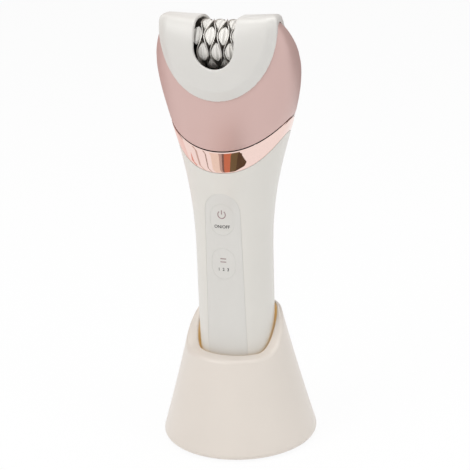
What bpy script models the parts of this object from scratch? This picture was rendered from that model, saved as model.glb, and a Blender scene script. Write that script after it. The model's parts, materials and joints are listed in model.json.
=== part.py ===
"""Cordless epilator standing in its charging stand, as an assembly of separate pieces.

Metres, +Z up. The origin is the middle of the stand's underside, the control panel faces -Y,
and +X is on the right of someone who looks at the panel.
"""
import math

import bmesh
import bpy
from mathutils import Matrix, Vector

# Clearances and walls
CLEARANCE = 0.0003
OVERLAP = 0.0010
WALL = 0.0020
BODY_SIDES = 32

# Epilator body: sections about the vertical axis
FOOT_HALF_WIDTH = 0.0152
FOOT_HALF_DEPTH = 0.0146
FOOT_ROUNDING = 0.0024
GRIP_RISE = 0.0670
WAIST_HALF_WIDTH = 0.0164
WAIST_HALF_DEPTH = 0.0158
NAPE_RISE = 0.0105
NAPE_DEPTH = 0.0228
HEAD_RISE = 0.0345
HEAD_HALF_WIDTH = 0.0302
HEAD_FRONT_DEPTH = 0.0180
DOME_HEIGHT = 0.0188
CROWN_BACK_DEPTH = 0.0023
HANDLE_POWER = 2.15
HEAD_POWER = 2.5
SHOULDER_SKEW = 1.46
DOME_POWER = 3.5
EAR_FALL = 0.20
EAR_POWER = 14

# Seams, which curve up towards the sides as arcs seen from the front
SMILE_RADIUS = 0.0350
NECK_RISE = 0.0545
RING_HEIGHT = 0.0092
RING_WALL = 0.0016
RING_TAPER = 0.0084
HEAD_WALL = 0.0018
NECK_RECESS = 0.0012
NECK_THICKNESS = 0.0020
COVER_RECESS = 0.0008
COVER_THICKNESS = 0.0024
HEAD_SCREW_RADIUS = 0.0011
HEAD_SCREW_HEAD = 0.0022
HEAD_SCREW_HEIGHT = 0.0009
HEAD_SCREW_SEAT = 0.0014
HEAD_SCREW_FRONT_Y = -0.0085
HEAD_SCREW_REAR_Y = 0.0125

# Front cover and its two keys
PANEL_DROP = 0.0088
PANEL_TOP_HALF_WIDTH = 0.00775
PANEL_FOOT_HALF_WIDTH = 0.0096
KEY_HALF_WIDTH = 0.0052
KEY_HALF_HEIGHT = 0.0068
KEY_LIP = 0.0010
KEY_LIP_THICKNESS = 0.0006
KEY_LIP_DEPTH = 0.0015
KEY_STEM_RADIUS = 0.0016
KEY_TRAVEL = 0.0005
POWER_KEY_DROP = 0.0115
KEY_SPACING = 0.0195

# Bottom cap and charge pads
FOOT_CAP_HEIGHT = 0.0062
CAP_SPIGOT = 0.0030
PAD_RADIUS = 0.0022
PAD_THICKNESS = 0.0010
PAD_SPACING = 0.0120

# Power pack inside the handle
DRIVE_Y = 0.0020
CELL_RADIUS = 0.0070
CELL_LENGTH = 0.0500
MOTOR_RADIUS = 0.0100
MOTOR_HALF_DEPTH = 0.0074
MOTOR_LENGTH = 0.0250
MOTOR_END_CAP = 0.0030
MOTOR_SHAFT_RADIUS = 0.0010
MOTOR_DROP = 0.0012
SHELF_THICKNESS = 0.0034
TOP_SHELF_THICKNESS = 0.0020
SHELF_HALF_WIDTH = 0.0085
SPINE_HALF_WIDTH = 0.0070
SPINE_THICKNESS = 0.0014
BOARD_HALF_WIDTH = 0.0080
BOARD_THICKNESS = 0.0012
BOARD_OVERLAP = 0.0042
BOARD_RISE = 0.0100
SWITCH_SIDE = 0.0060
SWITCH_HEIGHT = 0.0022
SWITCH_NUB_RADIUS = 0.0016
SWITCH_NUB_HEIGHT = 0.0004
BOARD_SCREW_X = 0.0056
BOARD_SCREW_LENGTH = 0.0045
BOARD_SCREW_RADIUS = 0.0008
BOARD_SCREW_HEAD = 0.0017
SEAL_RADIUS = 0.0036
SEAL_HEIGHT = 0.0020

# Drive from the motor to the drum
DOG_RADIUS = 0.0027
DOG_LENGTH = 0.0085
DOG_SINK = 0.0010
SOCKET_RECESS = 0.0008
SOCKET_ROOF = 0.0026
SOCKET_RADIUS = 0.0044
SHAFT_RADIUS = 0.0020
COLLAR_RADIUS = 0.0030
FRAME_RISE = 0.0125
FRAME_BASE_THICKNESS = 0.0028
FRAME_INSET = 0.0050
CHEEK_THICKNESS = 0.0022
CHEEK_FRONT = 0.0065
CHEEK_BACK = 0.0090
CHEEK_TOP = 0.0056
FRAME_WALL = 0.0013
COLUMN_RADIUS = 0.0026
INPUT_BUSH_RADIUS = 0.0046
CROWN_POST_GAP = 0.0016
CROWN_POST_THICKNESS = 0.0020
CROWN_POST_HALF_DEPTH = 0.0030
CROWN_POST_RISE = 0.0024
CROWN_HUB_RADIUS = 0.0026
PIN_RADIUS = 0.0012
AXLE_RADIUS = 0.0015
FACE_MODULE = 0.0007
FACE_PINION_TEETH = 8
CROWN_TEETH = 18
CROWN_DROP = 0.0167
CROWN_BAND = 0.0022
CROWN_PLATE = 0.0017
SPUR_MODULE = 0.0008
SPUR_TEETH = 10
IDLER_TEETH = 16
DRUM_TEETH = 18
GEAR_WIDTH = 0.0022

# Tweezer drum
DRUM_FRONT_GAP = 0.0018
DRUM_TOP_GAP = 0.0004
DISC_COUNT = 6
DISC_PITCH = 0.00285
DISC_RADIUS = 0.0102
DISC_BORE = 0.0053
DISC_THICKNESS = 0.00045
DISC_WAVE = 0.0010
WAVES = 4
WAVE_PHASE = math.radians(12)
SPACER_RADIUS = 0.0096
SLEEVE_RADIUS = 0.0033
FLANGE_THICKNESS = 0.0006

# Skin cap
CAP_PROUD = 0.0022
CAP_TOP_RISE = 0.0014
CAP_CORNER_RISE = 0.0012
CAP_HALF_WIDTH = 0.0250
CAP_TAPER = 0.085
CAP_BOW = 0.0292
CAP_CORNER = 0.0024
CAP_SIDE_HEIGHT = 0.0042
CHANNEL_HALF_WIDTH = 0.0205
CHANNEL_DROP = 0.0050
SLOT_HALF_WIDTH = 0.0082
SLOT_RISE = 0.0006
SLOT_BACK_Y = 0.0050

# Charging stand
STAND_RADIUS = 0.0348
RIM_WALL = 0.0012
STAND_HEIGHT = 0.0610
STAND_FLARE = 0.0005
STAND_SKIRT_Z = 0.0008
STAND_WALL = 0.0022
WELL_GAP = 0.0010
WELL_WALL = 0.0018
WELL_FLOOR_Z = 0.0106
WELL_FLOOR_THICKNESS = 0.0024
FLOOR_HUB_RADIUS = 0.0040
BACK_RIM_DROP = 0.0025
RIM_SLOPE = 0.0160
RIM_ROUND = 0.0012
RIM_FRONT_Y = -0.0130
RIM_BACK_Y = 0.0090
RIM_THICKNESS = 0.0025
SEAT_GAP = 0.0004
FOOT_PAD_RADIUS = 0.0042
FOOT_PAD_HEIGHT = 0.0012
FOOT_PAD_INSET = 0.0093
PLATE_THICKNESS = 0.0020
STAND_SCREW_INSET = 0.0148
STAND_SCREW_RADIUS = 0.00125
STAND_SCREW_HEAD = 0.0027
BOSS_RADIUS = 0.0032
BOSS_RISE = 0.0030
BOSS_ROOF = 0.0018
PLATE_SEAT = 0.0011
POST_RADIUS = 0.0015
CHARGE_BOARD_MARGIN = 0.0042
CHARGE_BOARD_GAP = 0.0010
INLET_HALF_WIDTH = 0.0055
INLET_HEIGHT = 0.0062
INLET_LENGTH = 0.0065
INLET_BORE_HALF_WIDTH = 0.0043
INLET_BORE_HEIGHT = 0.0030
INLET_BORE_DEPTH = 0.0045
INLET_RECESS = 0.0004

# Places worked out from the sizes above, from the foot up
FOOT_Z = WELL_FLOOR_Z + SEAT_GAP
CAP_SEAM_Z = FOOT_Z + FOOT_CAP_HEIGHT
WAIST_Z = FOOT_Z + GRIP_RISE
SEAM_Z = WAIST_Z + NECK_RISE
NAPE_Z = SEAM_Z + NAPE_RISE
HEAD_Z = SEAM_Z + HEAD_RISE
HEAD_TOP_Z = HEAD_Z + DOME_HEIGHT
CAP_TOP_Z = HEAD_TOP_Z + CAP_TOP_RISE
CAP_ARC_Z = CAP_TOP_Z - CAP_SIDE_HEIGHT
CHANNEL_ARC_Z = CAP_ARC_Z - CHANNEL_DROP
DRUM_Y = DISC_RADIUS + DRUM_FRONT_GAP - HEAD_FRONT_DEPTH
DRUM_Z = HEAD_TOP_Z - DISC_RADIUS - DRUM_TOP_GAP
SLOT_ARC_Z = DRUM_Z + SLOT_RISE
CROWN_Z = DRUM_Z - CROWN_DROP
FRAME_BASE_Z = SEAM_Z + FRAME_RISE
RING_FOOT_Z = SEAM_Z - RING_HEIGHT
PANEL_TOP_Z = RING_FOOT_Z - PANEL_DROP
POWER_KEY_Z = PANEL_TOP_Z - POWER_KEY_DROP
LEVEL_KEY_Z = POWER_KEY_Z - KEY_SPACING
KEY_LIP_Y = WALL + KEY_LIP_DEPTH - WAIST_HALF_DEPTH
SWITCH_FRONT_Y = KEY_LIP_Y + KEY_LIP_THICKNESS + KEY_TRAVEL + CLEARANCE
BOARD_FRONT_Y = SWITCH_FRONT_Y + SWITCH_HEIGHT
STAND_RIM_RADIUS = WAIST_HALF_WIDTH + WELL_GAP + RIM_WALL
BACK_RIM_Z = STAND_HEIGHT - BACK_RIM_DROP
FRONT_RIM_Z = BACK_RIM_Z - RIM_SLOPE
HOLLOW_TOP_Z = FRONT_RIM_Z - RIM_THICKNESS
FOOT_PAD_CIRCLE = STAND_RADIUS - FOOT_PAD_INSET
STAND_SCREW_CIRCLE = STAND_RADIUS - STAND_SCREW_INSET
CELL_FOOT_Z = CAP_SEAM_Z + CAP_SPIGOT + 2 * CLEARANCE + SHELF_THICKNESS
CELL_TOP_Z = CELL_FOOT_Z + CELL_LENGTH
BOARD_FOOT_Z = CELL_TOP_Z - BOARD_OVERLAP
BOARD_TOP_Z = POWER_KEY_Z + BOARD_RISE
BOARD_BACK_Y = BOARD_FRONT_Y + BOARD_THICKNESS
SHELF_FRONT_Y = BOARD_BACK_Y + CLEARANCE
SPINE_Y = DRIVE_Y + MOTOR_HALF_DEPTH + CLEARANCE
MOTOR_TOP_Z = RING_FOOT_Z - MOTOR_DROP
MOTOR_FOOT_Z = MOTOR_TOP_Z - MOTOR_LENGTH
MOTOR_SHELF_Z = MOTOR_FOOT_Z - CLEARANCE - MOTOR_END_CAP - CLEARANCE
TOP_SHELF_Z = MOTOR_TOP_Z + CLEARANCE
NECK_TOP_Z = SEAM_Z - NECK_RECESS
SOCKET_FOOT_Z = SEAM_Z + COVER_RECESS + SOCKET_RECESS
DOG_FOOT_Z = NECK_TOP_Z - DOG_SINK
DOG_TOP_Z = DOG_FOOT_Z + DOG_LENGTH
SOCKET_TOP_Z = DOG_TOP_Z + SOCKET_ROOF
FRAME_TOP_Z = FRAME_BASE_Z + FRAME_BASE_THICKNESS
FACE_PITCH_RADIUS = FACE_PINION_TEETH * FACE_MODULE / 2
CROWN_PITCH_RADIUS = CROWN_TEETH * FACE_MODULE / 2
CROWN_OUTER = CROWN_PITCH_RADIUS + CROWN_BAND * 0.4
CROWN_INNER = CROWN_OUTER - CROWN_BAND
PINION_FOOT_Z = CROWN_Z - CROWN_OUTER - CLEARANCE
PINION_TOP_Z = CROWN_Z - CROWN_INNER + CLEARANCE
CROWN_FACE_X = FACE_PITCH_RADIUS + FACE_MODULE * 1.1
CROWN_BACK_X = CROWN_FACE_X + CROWN_PLATE
DRUM_HALF_LENGTH = (DISC_COUNT + 1) * DISC_PITCH / 2
FLANGE_X = DRUM_HALF_LENGTH + FLANGE_THICKNESS
GEAR_X = FLANGE_X + CLEARANCE
GEAR_END_X = GEAR_X + GEAR_WIDTH
LEFT_CHEEK_X = -FLANGE_X - CLEARANCE
RIGHT_CHEEK_X = GEAR_END_X + 2 * CLEARANCE
CROWN_POST_X = -CROWN_FACE_X - CROWN_POST_GAP
PLATE_FOOT_Z = FOOT_PAD_HEIGHT + CLEARANCE
PLATE_TOP_Z = PLATE_FOOT_Z + PLATE_THICKNESS
CUT_REACH = HEAD_HALF_WIDTH
CUT_TOP_Z = CAP_TOP_Z + CUT_REACH
SCREW_PLACES_ON_HEAD = (HEAD_SCREW_FRONT_Y, HEAD_SCREW_REAR_Y)

AXES = {
    "X": Matrix(((0, 0, 1), (1, 0, 0), (0, 1, 0))).to_4x4(),
    "Y": Matrix(((0, 1, 0), (0, 0, 1), (1, 0, 0))).to_4x4(),
    "Z": Matrix.Identity(4),
}


def idler_place():
    """Y and Z of the idler, which meets both the crown's spur and the drum gear."""
    start = Vector((DRIVE_Y, CROWN_Z))
    reach = Vector((DRUM_Y, DRUM_Z)) - start
    first = (SPUR_TEETH + IDLER_TEETH) * SPUR_MODULE / 2
    second = (IDLER_TEETH + DRUM_TEETH) * SPUR_MODULE / 2
    along = (first ** 2 - second ** 2 + reach.length ** 2) / (2 * reach.length)
    aside = math.sqrt(first ** 2 - along ** 2)
    step = reach.normalized()
    return start + step * along + Vector((step.y, -step.x)) * aside


def smoothstep(value):
    value = min(max(value, 0.0), 1.0)
    return value * value * (3 - 2 * value)


def mix(first, second, share):
    return first + (second - first) * share


def clear_scene():
    for item in list(bpy.data.objects):
        bpy.data.objects.remove(item, do_unlink=True)


def new_collection(name):
    collection = bpy.data.collections.new(name)
    bpy.context.scene.collection.children.link(collection)
    return collection


def material(name, colour, roughness, metallic=0.0):
    made = bpy.data.materials.new(name)
    made.use_nodes = True
    shader = made.node_tree.nodes["Principled BSDF"]
    shader.inputs["Base Color"].default_value = (*colour, 1.0)
    shader.inputs["Roughness"].default_value = roughness
    shader.inputs["Metallic"].default_value = metallic
    return made


FINISHES = {
    "ivory": ((0.75, 0.70, 0.62), 0.38, 0.0),
    "handle": ((0.70, 0.68, 0.64), 0.36, 0.0),
    "panel": ((0.72, 0.70, 0.66), 0.34, 0.0),
    "cap": ((0.75, 0.73, 0.70), 0.40, 0.0),
    "rose": ((0.62, 0.46, 0.43), 0.42, 0.35),
    "rose_chrome": ((0.80, 0.55, 0.47), 0.08, 1.0),
    "dark": ((0.05, 0.045, 0.04), 0.55, 0.0),
    "steel": ((0.62, 0.62, 0.62), 0.25, 1.0),
    "pad_white": ((0.70, 0.68, 0.66), 0.35, 0.0),
    "brass": ((0.75, 0.55, 0.25), 0.30, 1.0),
    "board": ((0.04, 0.22, 0.10), 0.50, 0.0),
    "rubber": ((0.05, 0.05, 0.05), 0.80, 0.0),
    "acetal": ((0.66, 0.65, 0.62), 0.40, 0.0),
    "cell": ((0.08, 0.16, 0.30), 0.40, 0.0),
}


def place(obj, finish, parent=None):
    """Give a finished piece its own material, its collection and its parent."""
    colour, roughness, metallic = FINISHES[finish]
    obj.data.materials.clear()
    obj.data.materials.append(material(obj.name + "_finish", colour, roughness, metallic))
    for holder in list(obj.users_collection):
        holder.objects.unlink(obj)
    parts.objects.link(obj)
    if parent:
        obj.parent = parent
        for modifier in obj.modifiers:
            modifier.object.parent = parent
    obj.data.shade_smooth()
    obj.data.set_sharp_from_angle(angle=math.radians(35))
    return obj


def object_from(name, mesh):
    obj = bpy.data.objects.new(name, mesh)
    cutters.objects.link(obj)
    obj.hide_render = True
    obj.display_type = "WIRE"
    return obj


def show(obj, finish, parent=None):
    obj.hide_render = False
    obj.display_type = "TEXTURED"
    return place(obj, finish, parent)


def join(obj, tool, operation, solver="EXACT"):
    modifier = obj.modifiers.new(operation.lower(), "BOOLEAN")
    modifier.operation = operation
    modifier.object = tool
    modifier.solver = solver
    return obj


def cut(obj, tool, solver="EXACT"):
    return join(obj, tool, "DIFFERENCE", solver)


def unite(obj, tool, solver="EXACT"):
    return join(obj, tool, "UNION", solver)


def keep_common(obj, tool, solver="EXACT"):
    return join(obj, tool, "INTERSECT", solver)


def loft(name, rings, ring_shaped=False):
    """Solid through rings of equal length; a ring-shaped one joins its last ring to its first."""
    sides = len(rings[0])
    points = [point for ring in rings for point in ring]
    faces = []
    for row in range(len(rings) if ring_shaped else len(rings) - 1):
        low = row * sides
        high = (row + 1) % len(rings) * sides
        for i in range(sides):
            j = (i + 1) % sides
            faces.append((low + i, low + j, high + j, high + i))
    if not ring_shaped:
        faces.append(tuple(range(sides)))
        faces.append(tuple(range((len(rings) - 1) * sides, len(rings) * sides)))
    mesh = bpy.data.meshes.new(name)
    mesh.from_pydata(points, [], faces)
    shape = bmesh.new()
    shape.from_mesh(mesh)
    bmesh.ops.recalc_face_normals(shape, faces=shape.faces)
    bmesh.ops.triangulate(shape, faces=shape.faces)
    shape.to_mesh(mesh)
    shape.free()
    return object_from(name, mesh)


def box(name, low, high):
    low = Vector(low)
    high = Vector(high)
    shape = bmesh.new()
    scale = Matrix.Diagonal((*(high - low), 1.0))
    bmesh.ops.create_cube(shape, size=1.0, matrix=Matrix.Translation((low + high) / 2) @ scale)
    mesh = bpy.data.meshes.new(name)
    shape.to_mesh(mesh)
    shape.free()
    return object_from(name, mesh)


def rod(name, axis, centre, radius, start, end, sides=16, end_radius=None):
    """Round bar along an axis; centre gives its place across that axis."""
    across = {"X": (0.0, *centre), "Y": (centre[0], 0.0, centre[1]), "Z": (*centre, 0.0)}[axis]
    along = Matrix.Translation((0, 0, (start + end) / 2))
    shape = bmesh.new()
    bmesh.ops.create_cone(
        shape, cap_ends=True, segments=sides, radius1=radius,
        radius2=radius if end_radius is None else end_radius, depth=end - start,
        matrix=Matrix.Translation(across) @ AXES[axis] @ along)
    mesh = bpy.data.meshes.new(name)
    shape.to_mesh(mesh)
    shape.free()
    return object_from(name, mesh)


def slab(name, outlines, axis, start, end):
    """Flat outline, with any holes after it, drawn across an axis and extruded along it."""
    curve = bpy.data.curves.new(name, "CURVE")
    curve.dimensions = "2D"
    curve.fill_mode = "BOTH"
    curve.extrude = (end - start) / 2
    for outline in outlines:
        spline = curve.splines.new("POLY")
        spline.points.add(len(outline) - 1)
        for point, (across, up) in zip(spline.points, outline):
            point.co = (across, up, 0.0, 1.0)
        spline.use_cyclic_u = True
    guide = bpy.data.objects.new(name, curve)
    cutters.objects.link(guide)
    bpy.context.view_layer.update()
    graph = bpy.context.evaluated_depsgraph_get()
    mesh = bpy.data.meshes.new_from_object(guide.evaluated_get(graph))
    bpy.data.objects.remove(guide, do_unlink=True)
    bpy.data.curves.remove(curve)
    mesh.name = name
    shape = bmesh.new()
    shape.from_mesh(mesh)
    bmesh.ops.remove_doubles(shape, verts=shape.verts, dist=0.000001)
    bmesh.ops.recalc_face_normals(shape, faces=shape.faces)
    shape.to_mesh(mesh)
    shape.free()
    mesh.transform(AXES[axis] @ Matrix.Translation((0, 0, (start + end) / 2)))
    return object_from(name, mesh)


def circle(radius, sides=16, centre=(0.0, 0.0), turn=0.0):
    points = []
    for i in range(sides):
        angle = turn + 2 * math.pi * i / sides
        points.append((centre[0] + radius * math.cos(angle), centre[1] + radius * math.sin(angle)))
    return points


def arc(centre, radius, start, end, steps):
    points = []
    for i in range(steps + 1):
        angle = mix(start, end, i / steps)
        points.append((centre[0] + radius * math.cos(angle), centre[1] + radius * math.sin(angle)))
    return points


def blend(z):
    """How far the body has grown from its waist to its head."""
    rise = min(max((z - WAIST_Z) / (HEAD_Z - WAIST_Z), 0.0), 1.0)
    return smoothstep(rise ** SHOULDER_SKEW)


def back_depth(z):
    if z > NAPE_Z:
        fall = ((z - NAPE_Z) / (HEAD_TOP_Z - NAPE_Z)) ** 2
        return mix(NAPE_DEPTH, CROWN_BACK_DEPTH, fall)
    rise = min(max((z - WAIST_Z) / (NAPE_Z - WAIST_Z), 0.0), 1.0)
    return mix(WAIST_HALF_DEPTH, NAPE_DEPTH, smoothstep(rise ** SHOULDER_SKEW))


def section(z):
    """Half width, front depth, back depth and corner power of the outer body at a height."""
    if z < WAIST_Z:
        share = ((WAIST_Z - z) / (WAIST_Z - FOOT_Z)) ** 2.5
        width = mix(WAIST_HALF_WIDTH, FOOT_HALF_WIDTH, share)
        depth = mix(WAIST_HALF_DEPTH, FOOT_HALF_DEPTH, share)
        return width, depth, depth, HANDLE_POWER
    share = blend(z)
    width = mix(WAIST_HALF_WIDTH, HEAD_HALF_WIDTH, share)
    front = mix(WAIST_HALF_DEPTH, HEAD_FRONT_DEPTH, share)
    return width, front, back_depth(z), mix(HANDLE_POWER, HEAD_POWER, share)


def dome(z, top):
    """Shares of the full width and depth that are left at a height on the rounded top."""
    rise = min(max((z - HEAD_Z) / (top - HEAD_Z), 0.0), 1.0)
    depth = (1 - rise ** DOME_POWER) ** (1 / DOME_POWER)
    width = (1 - EAR_FALL * rise ** 2) * (1 - rise ** EAR_POWER) ** (1 / EAR_POWER)
    return width, depth


def rounded(angle, half_width, middle, half_depth, power, z):
    sine = math.sin(angle)
    cosine = math.cos(angle)
    x = math.copysign(abs(sine) ** (2 / power), sine) * half_width
    y = middle - math.copysign(abs(cosine) ** (2 / power), cosine) * half_depth
    return Vector((x, y, z))


def body_point(angle, z, inset=0.0):
    """Point of the body's skin, or of one inset from it, at an angle from the front."""
    width, front, back, power = section(z)
    width_left, depth_left = dome(z, HEAD_TOP_Z - inset)
    half_depth = ((front + back) / 2 - inset) * depth_left
    return rounded(angle, (width - inset) * width_left, (back - front) / 2, half_depth, power, z)


def angles(sides=BODY_SIDES):
    return [2 * math.pi * i / sides for i in range(sides)]


def body_ring(z, inset=0.0):
    return [body_point(angle, z, inset) for angle in angles()]


def smile(x, taper=0.0):
    """Rise of a seam at a place across the body; a taper lifts its ends further."""
    bow = SMILE_RADIUS - math.sqrt(SMILE_RADIUS ** 2 - x * x)
    return bow + taper * abs(x / HEAD_HALF_WIDTH) ** 3


def smile_ring(level, inset=0.0, share=1.0, taper=0.0):
    """Ring of the body's skin on a seam whose lowest point is at a level."""
    ring = []
    for angle in angles():
        z = level
        for _ in range(24):
            z = level + share * smile(body_point(angle, z, inset).x, taper)
        ring.append(body_point(angle, z, inset))
    return ring


def smile_circle(level, radius, middle_y):
    """Round hole drawn on a seam surface, with its points matched to the body's."""
    ring = []
    for angle in angles():
        x = radius * math.sin(angle)
        ring.append(Vector((x, middle_y - radius * math.cos(angle), level + smile(x))))
    return ring


def handle_tube(name):
    """Plain tube of the handle, from the bottom cap to the ring, before its window is cut."""
    top = RING_FOOT_Z - CLEARANCE / 2
    heights = [mix(CAP_SEAM_Z, WAIST_Z, share) for share in (0.0, 0.37, 0.7, 1.0)]
    heights.append(mix(WAIST_Z, top, 0.27))
    bends = ((0.48, 0.2), (0.66, 0.5), (0.84, 0.8))
    curved = [(mix(WAIST_Z, top, share), bend) for share, bend in bends]
    curved.append((top, 1.0))
    outer = [body_ring(z) for z in heights]
    outer += [smile_ring(z, 0.0, bend, RING_TAPER) for z, bend in curved]
    inner = [body_ring(z, WALL) for z in heights]
    inner += [smile_ring(z, WALL, bend, RING_TAPER) for z, bend in curved]
    return loft(name, outer + inner[::-1], ring_shaped=True)


def window(name, gap):
    """Cutter for the front cover's outline: an arch that widens slowly towards the foot."""
    top_width = PANEL_TOP_HALF_WIDTH - gap
    foot_width = PANEL_FOOT_HALF_WIDTH - gap
    arch_z = PANEL_TOP_Z - PANEL_TOP_HALF_WIDTH
    outline = [(foot_width, 0.0)] + arc((0.0, arch_z), top_width, 0.0, math.pi, 12)
    outline += [(-foot_width, 0.0)]
    return slab(name, [[(z, x) for x, z in outline]], "Y", -CUT_REACH, -2 * WALL)


def key_outline(gap):
    side = KEY_HALF_WIDTH + gap
    straight = KEY_HALF_HEIGHT - KEY_HALF_WIDTH
    points = arc((0.0, straight), side, 0.0, math.pi, 8)
    return points + arc((0.0, -straight), side, math.pi, 2 * math.pi, 8)


def key_prism(name, z, gap):
    outline = [(up + z, across) for across, up in key_outline(gap)]
    return slab(name, [outline], "Y", -CUT_REACH, -2 * WALL)


def make_handle():
    body = handle_tube("handle_body")
    show(cut(body, window("handle_window", 0.0)), "handle")

    cover = handle_tube("front_cover")
    keep_common(cover, window("front_cover_outline", CLEARANCE))
    for name, z in (("power", POWER_KEY_Z), ("level", LEVEL_KEY_Z)):
        cut(cover, key_prism(name + "_key_hole", z, CLEARANCE))
    show(cover, "panel")

    for name, z in (("power", POWER_KEY_Z), ("level", LEVEL_KEY_Z)):
        key = handle_tube(name + "_button")
        keep_common(key, key_prism(name + "_key_outline", z, 0.0))
        lip_back = KEY_LIP_Y + KEY_LIP_THICKNESS
        skin = body_point(0.0, z, WALL / 2).y
        stem_end = lip_back - KEY_LIP_THICKNESS / 4
        unite(key, rod(name + "_key_stem", "Y", (0.0, z), KEY_STEM_RADIUS, skin, stem_end))
        reach = KEY_HALF_WIDTH + KEY_LIP
        rise = KEY_HALF_HEIGHT + KEY_LIP
        unite(key, box(name + "_key_lip", (-reach, KEY_LIP_Y, z - rise), (reach, lip_back, z + rise)))
        show(key, "panel")


def make_bottom_cap():
    low = FOOT_Z + FOOT_ROUNDING
    rings = [body_ring(FOOT_Z, FOOT_ROUNDING)]
    for step in (0.35, 0.7):
        turn = step * math.pi / 2
        inset = FOOT_ROUNDING * (1 - math.sin(turn))
        rings.append(body_ring(low - FOOT_ROUNDING * math.cos(turn), inset))
    seam = CAP_SEAM_Z - CLEARANCE
    rings += [body_ring(low), body_ring(seam)]
    spigot = WALL + CLEARANCE
    rings += [body_ring(seam, spigot), body_ring(CAP_SEAM_Z + CAP_SPIGOT, spigot)]
    cap = loft("bottom_cap", rings)
    pocket = FOOT_Z + PAD_THICKNESS + CLEARANCE
    for name, side in (("left", -1), ("right", 1)):
        centre = (side * PAD_SPACING / 2, 0.0)
        tool = rod("charge_pad_pocket_" + name, "Z", centre, PAD_RADIUS + CLEARANCE, 0.0, pocket)
        cut(cap, tool)
        pad = rod("charge_pad_" + name, "Z", centre, PAD_RADIUS, FOOT_Z, FOOT_Z + PAD_THICKNESS)
        show(pad, "brass")
    show(cap, "handle")


def make_chassis():
    """Carrier that holds the cell, the motor and the control board inside the handle."""
    shelf_foot = CELL_FOOT_Z - CLEARANCE - SHELF_THICKNESS
    shelf_back = SPINE_Y + SPINE_THICKNESS / 2
    top_shelf_top = TOP_SHELF_Z + TOP_SHELF_THICKNESS
    frame = box("chassis", (-SPINE_HALF_WIDTH, SPINE_Y, shelf_foot),
                (SPINE_HALF_WIDTH, SPINE_Y + SPINE_THICKNESS, top_shelf_top))
    tops = {
        "bottom": CELL_FOOT_Z - CLEARANCE,
        "cell": CELL_TOP_Z + CLEARANCE + SHELF_THICKNESS,
        "motor": MOTOR_SHELF_Z,
    }
    for name, top in tops.items():
        low = (-SHELF_HALF_WIDTH, SHELF_FRONT_Y, top - SHELF_THICKNESS)
        unite(frame, box(name + "_shelf", low, (SHELF_HALF_WIDTH, shelf_back, top)))
    low = (-SHELF_HALF_WIDTH, SHELF_FRONT_Y, TOP_SHELF_Z)
    unite(frame, box("top_shelf", low, (SHELF_HALF_WIDTH, shelf_back, top_shelf_top)))
    hole = MOTOR_SHAFT_RADIUS + CLEARANCE
    ends = (TOP_SHELF_Z - OVERLAP, top_shelf_top + OVERLAP)
    cut(frame, rod("top_shelf_hole", "Z", (0.0, DRIVE_Y), hole, *ends))
    for name in ("cell", "motor"):
        z = tops[name] - SHELF_THICKNESS / 2
        hole = BOARD_SCREW_RADIUS + CLEARANCE
        pilot_end = SHELF_FRONT_Y + BOARD_SCREW_LENGTH + CLEARANCE
        cut(frame, rod(name + "_shelf_pilot", "Y", (BOARD_SCREW_X, z), hole, BOARD_FRONT_Y, pilot_end, 12))
    show(frame, "dark")

    cell_y = SPINE_Y - CLEARANCE - CELL_RADIUS
    show(rod("battery_cell", "Z", (0.0, cell_y), CELL_RADIUS, CELL_FOOT_Z, CELL_TOP_Z, 32), "cell")

    board = box("control_board", (-BOARD_HALF_WIDTH, BOARD_FRONT_Y, BOARD_FOOT_Z),
                (BOARD_HALF_WIDTH, BOARD_BACK_Y, BOARD_TOP_Z))
    for name, label in (("cell", "lower"), ("motor", "upper")):
        z = tops[name] - SHELF_THICKNESS / 2
        hole = BOARD_SCREW_RADIUS + CLEARANCE
        centre = (BOARD_SCREW_X, z)
        head_back = BOARD_FRONT_Y - CLEARANCE
        head_front = head_back - BOARD_SCREW_RADIUS
        cut(board, rod("board_hole_" + label, "Y", centre, hole, head_front, SHELF_FRONT_Y, 12))
        screw = rod("board_screw_" + label, "Y", centre, BOARD_SCREW_HEAD, head_front, head_back, 16)
        shank_start = (head_front + head_back) / 2
        shank_end = SHELF_FRONT_Y + BOARD_SCREW_LENGTH
        unite(screw, rod("board_shank_" + label, "Y", centre, BOARD_SCREW_RADIUS, shank_start, shank_end, 12))
        show(screw, "steel")
    show(board, "board")

    half = SWITCH_SIDE / 2
    for name, z in (("power", POWER_KEY_Z), ("level", LEVEL_KEY_Z)):
        low = (-half, SWITCH_FRONT_Y + SWITCH_NUB_HEIGHT, z - half)
        switch = box(name + "_switch", low, (half, BOARD_FRONT_Y - CLEARANCE, z + half))
        nub = (SWITCH_FRONT_Y, SWITCH_FRONT_Y + 2 * SWITCH_NUB_HEIGHT)
        unite(switch, rod(name + "_switch_nub", "Y", (0.0, z), SWITCH_NUB_RADIUS, *nub))
        show(switch, "dark")


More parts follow.
